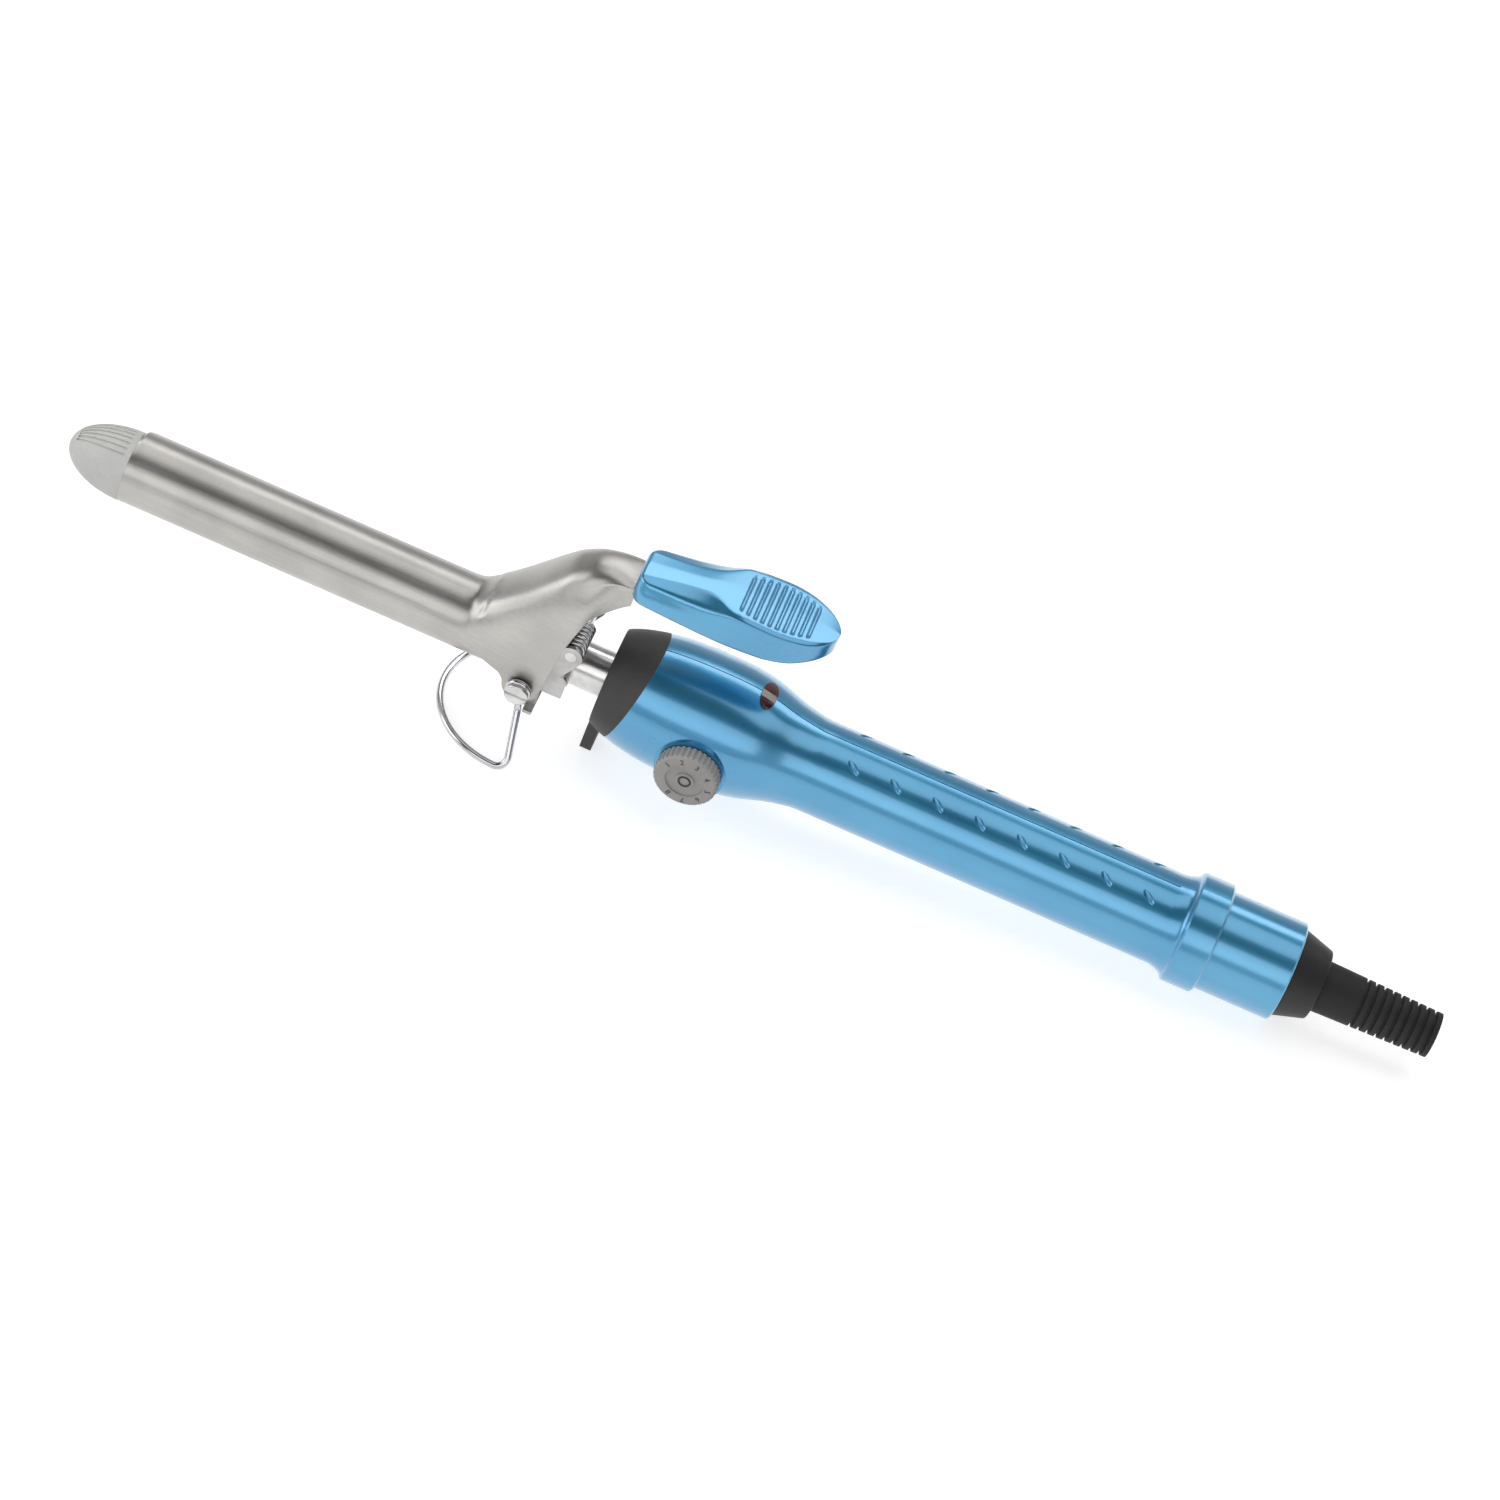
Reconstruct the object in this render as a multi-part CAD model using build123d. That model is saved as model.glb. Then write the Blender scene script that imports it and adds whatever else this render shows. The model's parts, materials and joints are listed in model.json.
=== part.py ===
from build123d import *
import math
import os

# A clamp curling iron, in millimetres. Its axis is X: the cool tip points to -X and the cord leaves at +X.
# The lever is on the +Z side and the heat dial on the -Y side. Pieces are drawn with x = 0 at the clamp's
# pivot and z = 0 on the iron's axis. At the end they move to the part's frame: middle of the footprint, on
# the floor.

# Fits
fit_gap = 0.05           # pieces that stay together
run_gap = 0.05           # shafts that turn in their holes
clear_gap = 0.3          # pieces that pass each other

# Barrel, tip and heater
barrel_d = 19.05
barrel_wall = 0.8
barrel_len = 122.5
barrel_overhang = 5.5    # barrel end behind the pivot
tip_len = 17.4
tip_step = 0.1           # tip radius over the barrel's
tip_spigot_len = 12.0
tip_groove_count = 7     # on each side
tip_groove_pitch = 11.0  # degrees round the axis
tip_groove_w = 0.55
tip_groove_depth = 0.4
tip_groove_lead = 2.1    # bare tip ahead of the grooves
tip_groove_tail = 1.7    # and behind them
core_d = 9.0
core_bore = 3.2
core_gap = 0.5           # between the core and what stands at its ends
spacer_len = 3.0
winding_wall = 1.0
bush_depth = 11.0        # barrel bush inside the barrel
bush_hub_len = 5.5       # and behind it
bush_hub_d = 14.8
neck_d = 12.7
neck_wall = 0.8
neck_seat = 8.0          # neck tube inside the bush
neck_bush_back = 6.0     # neck bush behind the shield's joint
neck_bush_len = 7.0
neck_bush_r = 14.6

# Pivot, bracket, spring and stand
pivot_z = -5.6
pivot_screw_d = 3.0
screw_head_d = 6.6
screw_head_h = 1.2
screw_head_round = 0.6
screw_slot_w = 0.8
screw_slot_depth = 0.5
screw_reach = 1.6        # thread inside the bracket plate
bracket_t = 1.0
bracket_front = 5.0
bracket_rear = 11.0
bracket_toe = 2.5        # front of the web and of the plates beside it
bracket_top = 3.0
bracket_heel = 4.6       # underside of the plates behind the web, below the axis
bracket_side_gap = 0.275  # between the barrel and the bracket's plates
bracket_corner_r = 2.0
web_drop = 1.4           # bracket web under the barrel
ear_r = 5.0
spring_x = 9.6
spring_z = 11.0
spring_wire = 1.0
spring_coil_d = 5.2      # mean diameter
spring_pitch = 1.5
spring_turns = 7
spring_side = 2.2        # y of the first turn
spring_lever_leg = 22.4
spring_fore_leg = 10.0
spring_fore_dip = 22.0   # degrees
spring_pin_d = 3.2
arm_w = 6.4
arm_foot_x = 4.0         # middle of the arm's foot
catch_len = 3.5          # bracket's catch under the spring's fore leg
catch_overlap = 0.5      # its edges over the wire's end and the plate
catch_gap = 0.1
stand_wire_d = 2.0
stand_eye_r = 2.65       # middle of the wire
stand_half_w = 24.0
stand_bend_r = 3.0
stand_knee = 6.0         # leg's flat stretch below the pivot
stand_heel = 1.5         # x where the round foot starts
heel_bend_share = 1.16   # legs aim this many bend radii behind it
stand_toe = 20.5         # foot's reach ahead of the pivot
floor_drop = 25.0        # floor below the axis at the pivot
stop_tab_w = 2.5

# Clamp sheet and thumb rest
sheet_t = 0.8
spoon_len = 92.0
spoon_lead = 1.0         # barrel left bare ahead of the spoon
spoon_wrap = 47.0        # degrees each side of the top
spoon_corner_r = 4.0
spoon_flare = 10.0       # rims start to turn down ahead of the hood
spoon_drop = 3.0         # and reach the axis behind the hood's start
hood_full_x = -3.5       # hood at its full width
strap_half_w = 5.9
strap_z = 38.4
strap_flange = 7.0       # depth of the strap's sides at the thumb rest
rest_front = 18.0
rest_len = 53.5
rest_under = 2.4         # underside below the strap's top
rest_front_h = 6.2       # front half
rest_pad_h = 11.6        # ribbed pad
rest_front_half_w = 9.0
rest_corner_r = 4.0      # front corners in plan
rest_flat = 24.0         # flat stretch of the underside
rest_nose = 7.6          # height of the rear end's foremost point
rest_pad_start = 20.0    # pad behind the front end
rest_pad_drop = 0.2      # pad's front edge below its rear
rest_first_rib = 6.5     # behind the pad's start
rest_scoop_r = 6.0
rest_screw_first = 8.0   # behind the front end
rest_screw_pitch = 13.0
rest_screw_len = 2.5     # thread above the strap
rest_pad_half_w = 10.75
rest_oval = 17.0         # rounded rear end
rest_rib_count = 10
rest_rib_pitch = 2.1
rest_rib_gap = 0.9
rest_rib_depth = 0.6
rest_rib_share = 0.74    # longest rib over the pad's width
rest_rib_middle = 4.0    # its place among the ribs
rest_rib_taper = 7.0     # places from it to where ribs would end
rest_screw_d = 2.4
rest_screw_head_d = 4.8
tongue_len = 26.0
tongue_half_w = 5.2

# Heat shield and handle
shield_front = 20.0
shield_wall = 3.2
shield_mid = 27.7        # joint with the shells on the axis
shield_tilt = 13.3       # degrees
shield_tab_w = 12.6
shield_tab_reach = 23.4
shield_tab_r = 1.5
shield_edge_r = 0.8
shell_wall = 2.0
head_len = 62.0
head_r = 18.0
head_front_slope = 0.55
grip_r = 12.7
grip_end = 179.5
band_r = 15.4
band_start = 184.5
band_end = 193.5
band_bevel = 0.5         # front edge
band_rear_bevel = 0.6
flare_lead = 2.0         # grip swells from here to the band
flare_rise = 0.55
seam_w = 0.3             # groove where the two shells meet
seam_depth = 0.3
spigot_len = 8.0
dimple_count = 8
dimple_start = 88.6
dimple_pitch = 12.0
dimple_len = 7.4
dimple_w = 3.0
dimple_depth = 0.75
dimple_side = 30.0       # degrees from the seam
dimple_slant = 40.0      # degrees, rear ends lean away from the seam
boss_d = 5.4
boss_wall = 0.8          # round the screw heads
shell_screw_d = 2.5
shell_screw_head_d = 5.0
shell_screw_head_h = 1.8
shell_screw_len = 13.0
shell_screw_depth = 4.0  # seat below the boss's end
head_screw_x = 45.0
head_screw_z = 9.5
head_boss_reach = 16.0
grip_screw_x = 80.0
tail_screw_x = 168.0
grip_screw_z = 5.5
grip_boss_reach = 11.4
collar_r = 13.8
collar_wall = 1.6
collar_floor = 2.0       # end wall round the swivel's stem
collar_end = 215.0

# Dial, lens and board
dial_x = 49.6
dial_z = -2.5
dial_d = 17.4
dial_h = 4.1
dial_notches = 36
dial_seat = 18.0         # face of the boss under the dial
dial_boss_d = 19.4
dial_roof = 0.8          # knob over the shaft's end
dial_rim = 3.4           # raised rim round the dished face
dial_dish = 0.5
dial_button_d = 5.2
dial_notch_r = 0.35
can_d = 16.0
can_h = 7.0
can_face = 11.8
can_floor = 2.0          # can behind the shaft's end
shaft_d = 6.0
bush_thread_d = 7.0
nut_d = 11.0
nut_h = 1.8
lens_x = 61.0
lens_len = 4.4
lens_w = 10.0
lens_proud = 0.4
lens_cut = 3.0           # lens hole above the head's surface
lens_depth = 4.5
lens_top_r = 17.5        # head's radius just ahead of the lens
lamp_d = 3.2
lamp_len = 8.0
board_start = 88.0
board_len = 62.0
board_t = 1.6
board_z = -4.0
lead_d = 1.8
lead_side = 2.5
lead_front_lap = 9.0     # heater leads over the board
lead_rear_lap = 4.0      # supply leads over the board
capacitor_x = 12.0       # places from the board's front edge
capacitor_len = 10.0
capacitor_size = 9.0
triac_x = 29.0
triac_w = 10.0
triac_tab_t = 1.3
triac_tab_h = 9.0
triac_body_t = 3.1
triac_body_h = 6.5
resistor_x = 38.0
resistor_len = 7.0
resistor_d = 2.4
resistor_pitch = 4.0
fuse_x = 48.0
fuse_len = 9.0
fuse_d = 3.6

# Swivel and strain relief
swivel_start_r = 12.2
swivel_end_r = 9.6
swivel_len = 8.6
swivel_edge_r = 0.8
swivel_stem_d = 12.0
hub_d = 10.0
hub_flange_d = 17.0
hub_flange_t = 2.0
hub_len = 12.0
hub_bore_depth = 3.0     # beyond the flange
ring_w = 2.5
ring_t = 1.0
ring_pitch = 5.0
ring_inset = 1.5
holder_front = 186.0
holder_t = 4.0
brush_w = 3.0
brush_t = 0.5
relief_len = 33.0
relief_start_r = 7.1
relief_end_r = 6.25
relief_plain = 11.0      # smooth front stretch
relief_ribs = 9
relief_rib_gap = 1.0
relief_rib_depth = 0.9
relief_bore = 7.2

# Worked out from the sizes above
barrel_r = barrel_d / 2
barrel_in_r = barrel_r - barrel_wall
barrel_rear = barrel_overhang
barrel_front = barrel_rear - barrel_len
bush_front = barrel_rear - bush_depth
bush_rear = barrel_rear + bush_hub_len
neck_r = neck_d / 2
spoon_in_r = barrel_r + clear_gap
spoon_out_r = spoon_in_r + sheet_t
spoon_front = barrel_front + spoon_lead
hood_start = spoon_front + spoon_len
plate_in = barrel_r + bracket_side_gap
plate_out = plate_in + bracket_t
hood_half_w = plate_out + clear_gap + sheet_t
web_top = -barrel_r - web_drop
web_rear = ear_r + clear_gap
eye_y = hood_half_w + stand_wire_d / 2 + clear_gap
head_y = eye_y + stand_wire_d / 2 + 2 * fit_gap
floor_slope = (floor_drop - band_r) / ((band_start + band_end) / 2)
tip_end = barrel_front - tip_len
swivel_start = collar_end + clear_gap
swivel_end = swivel_start + swivel_len
relief_end = swivel_end + relief_len
inner_r = grip_r - shell_wall
tongue_z = strap_z - sheet_t
rest_low = strap_z - rest_under
rest_rear = rest_front + rest_len
rest_screw_xs = (rest_front + rest_screw_first, rest_front + rest_screw_first + rest_screw_pitch)
core_front = barrel_front + tip_spigot_len + core_gap
core_rear = bush_front - 2 * core_gap
neck_bush_front = shield_mid + neck_bush_back
board_top = board_z + board_t
board_half_w = math.sqrt(inner_r ** 2 - board_z ** 2) - 2 * fit_gap
board_end = board_start + board_len
lead_z = board_top + lead_d / 2 + fit_gap
hub_rear = collar_end - collar_floor - clear_gap
ring_front = hub_rear - hub_flange_t - hub_len + ring_inset

# Shell screws, as (x, z, reach of the boss from the joint)
shell_screw_places = (
    (head_screw_x, head_screw_z, head_boss_reach),
    (grip_screw_x, grip_screw_z, grip_boss_reach),
    (tail_screw_x, grip_screw_z, grip_boss_reach))
screw_bore_r = shell_screw_head_d / 2 + clear_gap

# Outline of the head from the shield's front edge to the grip, in shares of its length and of its swell
head_shares = ((0, 0.094), (0.123, 0.623), (0.258, 0.906), (0.435, 1), (0.613, 0.906), (0.726, 0.623),
               (0.823, 0.264), (0.911, 0.057), (1, 0))
head_outline = [(shield_front + along * head_len, grip_r + swell * (head_r - grip_r))
                for along, swell in head_shares]


def rod_x(radius, x0, x1, y=0.0, z=0.0):
    return Pos((x0 + x1) / 2, y, z) * Rot(0, 90, 0) * Cylinder(radius, x1 - x0)


def rod_y(radius, y0, y1, x, z):
    return Pos(x, (y0 + y1) / 2, z) * Rot(90, 0, 0) * Cylinder(radius, abs(y1 - y0))


def rod_z(radius, z0, z1, x, y):
    return Pos(x, y, (z0 + z1) / 2) * Cylinder(radius, z1 - z0)


def tube_x(outer, inner, x0, x1):
    return rod_x(outer, x0, x1) - rod_x(inner, x0, x1)


def block(x0, x1, y0, y1, z0, z1):
    return Pos((x0 + x1) / 2, (y0 + y1) / 2, (z0 + z1) / 2) * Box(x1 - x0, y1 - y0, z1 - z0)


def spun(edges):
    return revolve(make_face(edges), Axis.X)


def side_prism(points, half_w):
    outline = Plane.XZ * make_face(Polyline(*points, close=True))
    return extrude(outline, half_w, both=True)


def mirrored(piece):
    return mirror(piece, Plane.XZ)


def sphere(radius, centre):
    return Pos(*centre) * Sphere(radius)


# Barrel
def make_barrel_tube():
    return tube_x(barrel_r, barrel_in_r, barrel_front, barrel_rear)


def tip_dome(length, radius):
    arc = EllipticalCenterArc((barrel_front, 0), length, radius, start_angle=90, arc_size=90)
    return spun([arc, Line((barrel_front - length, 0), (barrel_front, 0)),
                 Line((barrel_front, 0), (barrel_front, radius))])


def make_cool_tip():
    tip_r = barrel_r + tip_step
    tip = tip_dome(tip_len, tip_r)
    skin = tip_dome(tip_len + 1, tip_r + 1) - tip_dome(tip_len - tip_groove_depth, tip_r - tip_groove_depth)
    skin &= block(tip_end + tip_groove_lead, barrel_front - tip_groove_tail,
                  -barrel_d, barrel_d, -barrel_d, barrel_d)
    for index in range(tip_groove_count):
        turn = (index - (tip_groove_count - 1) / 2) * tip_groove_pitch
        slit = Rot(turn, 0, 0) * block(tip_end, barrel_front, -tip_groove_w / 2, tip_groove_w / 2,
                                       -barrel_d, barrel_d)
        tip -= skin & slit
    return tip + rod_x(barrel_in_r - fit_gap, barrel_front, barrel_front + tip_spigot_len)


def make_heater_core():
    return tube_x(core_d / 2, core_bore / 2, core_front, core_rear)


def make_core_spacers():
    ring = [tube_x(barrel_in_r - fit_gap, core_d / 2 + fit_gap, x, x + spacer_len)
            for x in (core_front, core_rear - spacer_len)]
    return Compound(children=[part.solid() for part in ring])


def make_heater_winding():
    return tube_x(core_d / 2 + fit_gap + winding_wall, core_d / 2 + fit_gap,
                  core_front + spacer_len + core_gap, core_rear - spacer_len - core_gap)


def make_barrel_bush():
    bush = rod_x(barrel_in_r - fit_gap, bush_front, barrel_rear)
    bush += rod_x(bush_hub_d / 2, barrel_rear, bush_rear)
    bush -= rod_x(neck_r + fit_gap, barrel_rear - neck_seat, bush_rear)
    return bush - rod_x(core_d / 2, bush_front, bush_rear)


def make_neck_tube():
    return tube_x(neck_r, neck_r - neck_wall, barrel_rear - neck_seat, neck_bush_front + neck_bush_len)


def make_neck_bush():
    return tube_x(neck_bush_r, neck_r + fit_gap, neck_bush_front, neck_bush_front + neck_bush_len)


# Pivot bracket, screws and spring
leg_foot = Vector(stand_heel + stand_bend_r * heel_bend_share, stand_half_w, 0)


def foot_point(x, y):
    return Vector(x, y, -floor_drop + x * floor_slope + stand_wire_d / 2)


def leg_line():
    eye = Vector(0, eye_y, pivot_z)
    corner = foot_point(leg_foot.X, leg_foot.Y)
    return eye, corner


def make_pivot_bracket():
    eye, corner = leg_line()
    tab_z = web_top - bracket_t / 2
    share = (tab_z - eye.Z) / (corner.Z - eye.Z)
    tab_x = corner.X * share + stand_wire_d / 2 + clear_gap
    tab_y = eye.Y + clear_gap
    low = web_top - bracket_t
    plate = block(-bracket_toe, web_rear, plate_in, plate_out, low, bracket_top)
    plate += block(-bracket_front, bracket_rear, plate_in, plate_out, -bracket_heel, bracket_top)
    plate = fillet(plate.edges().filter_by(Axis.Y).group_by(Axis.Z)[-1], bracket_corner_r)
    reach = math.hypot(spring_x - arm_foot_x, spring_z)
    slope = math.degrees(math.atan2(spring_z, spring_x - arm_foot_x))
    arm = SlotCenterToCenter(reach, arm_w)
    arm = Pos((spring_x + arm_foot_x) / 2, plate_in, spring_z / 2) * Rot(0, -slope, 0) * Rot(90, 0, 0) * arm
    plate += extrude(arm, bracket_t, dir=(0, 1, 0))
    plate -= rod_y(spring_pin_d / 2 + fit_gap, plate_in, plate_out, spring_x, spring_z)
    plate -= rod_y(pivot_screw_d / 2 + fit_gap, plate_in, plate_out, 0, pivot_z)
    plate += block(tab_x, tab_x + stop_tab_w, plate_in, tab_y, low, web_top)
    web = block(-bracket_toe, max(web_rear, tab_x + stop_tab_w), -plate_out, plate_out, low, web_top)
    end = spring_path()[1]
    catch_z = end.Z - spring_wire / 2 - catch_gap
    front = end.X - catch_overlap
    tip_y = end.Y + spring_wire / 2 + catch_overlap
    catch = block(front, front + catch_len, -plate_in - catch_overlap, tip_y, catch_z - bracket_t, catch_z)
    stem = block(front, front + catch_len, -plate_out, -plate_in, bracket_top - bracket_corner_r, catch_z)
    return plate + mirrored(plate) + web + catch + stem


def make_spring_pin():
    return rod_y(spring_pin_d / 2, -plate_out, plate_out, spring_x, spring_z)


def make_pivot_screws():
    shaft = rod_y(pivot_screw_d / 2, plate_out - screw_reach, head_y, 0, pivot_z)
    head = rod_y(screw_head_d / 2, head_y, head_y + screw_head_h, 0, pivot_z)
    head = fillet(head.edges().group_by(Axis.Y)[-1], screw_head_round)
    slot = block(-screw_head_d, screw_head_d, head_y + screw_head_h - screw_slot_depth,
                 head_y + 2 * screw_head_h, pivot_z - screw_slot_w / 2, pivot_z + screw_slot_w / 2)
    screw = shaft + head - slot
    return Compound(children=[screw.solid(), mirrored(screw).solid()])


def coil_point(angle):
    turn = math.radians(angle)
    radius = spring_coil_d / 2
    rise = spring_side - spring_pitch * (angle - 180.0) / 360.0
    return Vector(spring_x + radius * math.cos(turn), rise, spring_z + radius * math.sin(turn))


def coil_heading(angle):
    turn = math.radians(angle)
    radius = spring_coil_d / 2
    return Vector(-radius * math.sin(turn), -spring_pitch / math.tau, radius * math.cos(turn)).normalized()


def biarc(a, head_a, b, head_b):
    span = b - a
    sum_heads = head_a + head_b
    along = span.dot(sum_heads)
    spread = 2 * (1 - head_a.dot(head_b))
    reach = (math.sqrt(along * along + spread * span.dot(span)) - along) / spread
    first = a + head_a * reach
    last = b - head_b * reach
    joint = (first + last) * 0.5
    return [TangentArc(a, joint, tangent=head_a), TangentArc(joint, b, tangent=(last - first).normalized())]


def spring_path():
    # The lever leg comes down to the front of the coil, which winds towards -Y and leaves over its top.
    stop = 90.0 + spring_fore_dip + 360.0 * spring_turns
    steps = 4 * spring_turns - 1
    angles = [180.0 + (stop - 180.0) * index / steps for index in range(steps + 1)]
    first = coil_point(angles[0]) - coil_heading(angles[0]) * spring_lever_leg
    last = coil_point(stop) + coil_heading(stop) * spring_fore_leg
    pieces = [Line(first, coil_point(angles[0]))]
    for a, b in zip(angles, angles[1:]):
        pieces += biarc(coil_point(a), coil_heading(a), coil_point(b), coil_heading(b))
    pieces.append(Line(coil_point(stop), last))
    return pieces, last


def make_clamp_spring():
    pieces, last = spring_path()
    path = Wire(pieces)
    start = path.position_at(0)
    section = Plane(start, z_dir=path.tangent_at(0)) * Circle(spring_wire / 2)
    samples = [coil_point(180.0 + 10.0 * step) for step in range(36 * (spring_turns - 1))]
    far = min((samples[i] - samples[j]).length for i in range(len(samples))
              for j in range(i + 18, min(i + 55, len(samples))))
    print("clamp_spring least gap to itself", round(far - spring_wire, 3), "mm")
    return sweep(section, path)


# Wire stand
def bend(before, corner, after, radius):
    heading = (corner - before).normalized()
    leaving = (after - corner).normalized()
    turn = math.radians(heading.get_angle(leaving))
    reach = radius * math.tan(turn / 2)
    start = corner - heading * reach
    end = corner + leaving * reach
    middle = corner + (leaving - heading).normalized() * (radius / math.cos(turn / 2) - radius)
    return start, ThreePointArc(start, middle, end), end


def make_stand_wire():
    # Each leg runs down flat beside the ear, splays out to the heel and bends into the round foot.
    eye, heel_guess = leg_line()
    heel = foot_point(stand_heel, stand_half_w)
    foot = ThreePointArc(heel, foot_point(-stand_toe, 0), foot_point(stand_heel, -stand_half_w))
    ahead = foot.tangent_at(0)
    flat = Vector(heel_guess.X - eye.X, 0, heel_guess.Z - eye.Z).normalized()
    knee = eye + flat * stand_knee
    turn = math.radians((heel_guess - knee).get_angle(ahead))
    heel_corner = heel - ahead * (stand_bend_r * math.tan(turn / 2))
    knee_start, knee_arc, knee_end = bend(eye, knee, heel_corner, stand_bend_r)
    heel_start, heel_arc, heel_end = bend(knee, heel_corner, heel_corner + ahead, stand_bend_r)
    top = eye + flat * stand_eye_r
    foot = ThreePointArc(heel_end, foot_point(-stand_toe, 0), Vector(heel_end.X, -heel_end.Y, heel_end.Z))
    radius = stand_wire_d / 2
    leg = [Line(top, knee_start), knee_arc, Line(knee_end, heel_start), heel_arc]
    path = Wire(leg + [foot] + [mirrored(edge).edge() for edge in reversed(leg)])
    wire = sweep(Plane(top, z_dir=flat) * Circle(radius), path)
    eyelet = Pos(*eye) * Rot(90, 0, 0) * Torus(stand_eye_r, radius)
    return wire + eyelet + mirrored(eyelet)


# Clamp: spoon, hood, strap and tongue in one sheet
round_handle = 0.5523    # handle of a Bezier curve that follows a quarter circle, over its radius

# Stations of the hood, as (run, foot_w, foot_z, side_w, side_z, top_w, top_z): the section's foot, its two
# curve handles and its top. The run is 0 to 1 from the spoon's end to the hood's full width, and 1 to 2 from
# there to the thumb rest. Half widths are shares of the hood's, heights of the way from spoon to strap.
hood_rows = (
    (0.22, 0.903, 0.0, 0.903, 0.016, 0.513, 0.021), (0.463, 0.941, 0.026, 0.933, 0.112, 0.546, 0.175),
    (0.732, 0.983, 0.078, 0.941, 0.265, 0.555, 0.395), (1.0, 1.0, 0.26, 0.924, 0.481, 0.555, 0.64),
    (1.236, 1.0, 0.43, 0.874, 0.68, 0.546, 0.849), (1.472, 1.0, 0.456, 0.714, 0.849, 0.529, 0.971),
    (1.613, 1.0, 0.469, 0.655, 0.914, 0.513, 1.003), (1.731, 0.639, 0.625, 0.521, 0.969, 0.487, 1.018))

# Front edge of the hood's sides, as shares of the way back to the ear and down to the pivot
hood_fore = ((0.56, 0.32), (0.9, 0.64))

# Rear edge of the hood's sides, from the ear up to the strap, as (x, z)
hood_back = ((7.0, 12.0), (10.4, 25.0), (13.5, 27.6))


def hood_stations():
    spoon_side = round_handle * spoon_out_r
    stations = [(x, spoon_out_r, 0.0, spoon_out_r, spoon_side, spoon_side, spoon_out_r)
                for x in (spoon_front, hood_start)]
    strap_front = rest_front - clear_gap
    for run, foot_w, foot_z, side_w, side_z, top_w, top_z in hood_rows:
        if run <= 1:
            x = hood_start + run * (hood_full_x - hood_start)
        else:
            x = hood_full_x + (run - 1) * (strap_front - hood_full_x)
        stations.append((x, foot_w * hood_half_w, foot_z * strap_z, side_w * hood_half_w,
                         spoon_side + side_z * (strap_z - spoon_side), top_w * hood_half_w,
                         spoon_out_r + top_z * (strap_z - spoon_out_r)))
    stations.append((strap_front, strap_half_w, strap_z - strap_flange - 2 * sheet_t, strap_half_w,
                     strap_z - sheet_t / 2, strap_half_w - sheet_t / 2, strap_z))
    return stations


def hood_section(station, inset, rise):
    x, foot_w, foot_z, side_w, side_z, top_w, top_z = station
    low = pivot_z - 2 * ear_r
    top = top_z - rise
    right = [(x, foot_w - inset, foot_z),
             (x, side_w - inset, side_z - round_handle * rise),
             (x, top_w - round_handle * inset, top),
             (x, 0, top)]
    left = [(px, -py, pz) for px, py, pz in reversed(right)]
    right_foot = (x, foot_w - inset, low)
    left_foot = (x, inset - foot_w, low)
    edges = [Line(right_foot, right[0]), Bezier(*right), Bezier(*left), Line(left[-1], left_foot),
             Line(left_foot, right_foot)]
    return Face(Wire(edges))


def hood_form(thickness):
    faces = []
    stations = hood_stations()
    for index, station in enumerate(stations):
        before = stations[max(index - 1, 0)]
        after = stations[min(index + 1, len(stations) - 1)]
        slope = (after[6] - before[6]) / (after[0] - before[0]) if index > 1 else 0.0
        faces.append(hood_section(station, thickness, thickness * math.hypot(1, slope)))
    return loft(faces, ruled=True)


def make_clamp():
    rim = spoon_out_r * math.sin(math.radians(spoon_wrap))
    rim_z = spoon_out_r * math.cos(math.radians(spoon_wrap))
    low = pivot_z - 2 * ear_r
    high = 2 * strap_z
    wide = 2 * hood_half_w
    flare = hood_start - spoon_flare
    fore_x = hood_start + spoon_drop
    fore = [(fore_x - back * (ear_r + fore_x), down * pivot_z) for back, down in hood_fore]
    sheet = hood_form(0) - hood_form(sheet_t)
    plan = block(spoon_front, rest_front, -rim, rim, low, high)
    plan = fillet(plan.edges().filter_by(Axis.Z).group_by(Axis.X)[0], spoon_corner_r)
    sheet &= plan + block(flare, rest_front, -wide, wide, low, high)
    edge = [(spoon_front - 1, high), (spoon_front - 1, rim_z), (flare, rim_z), (fore_x, 0), *fore,
            (-ear_r, pivot_z), (0, pivot_z), (ear_r, pivot_z), *hood_back,
            (rest_front, strap_z - strap_flange), (rest_front, high)]
    outline = side_prism(edge, wide) + rod_y(ear_r, -wide, wide, 0, pivot_z)
    tongue = block(rest_front - 1, rest_front + tongue_len, -tongue_half_w, tongue_half_w, tongue_z, strap_z)
    for x in rest_screw_xs:
        tongue -= rod_z(rest_screw_d / 2 + fit_gap, tongue_z, strap_z, x, 0)
    sheet &= outline
    sheet += tongue
    return sheet - rod_y(pivot_screw_d / 2 + run_gap, -wide, wide, 0, pivot_z)


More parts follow.
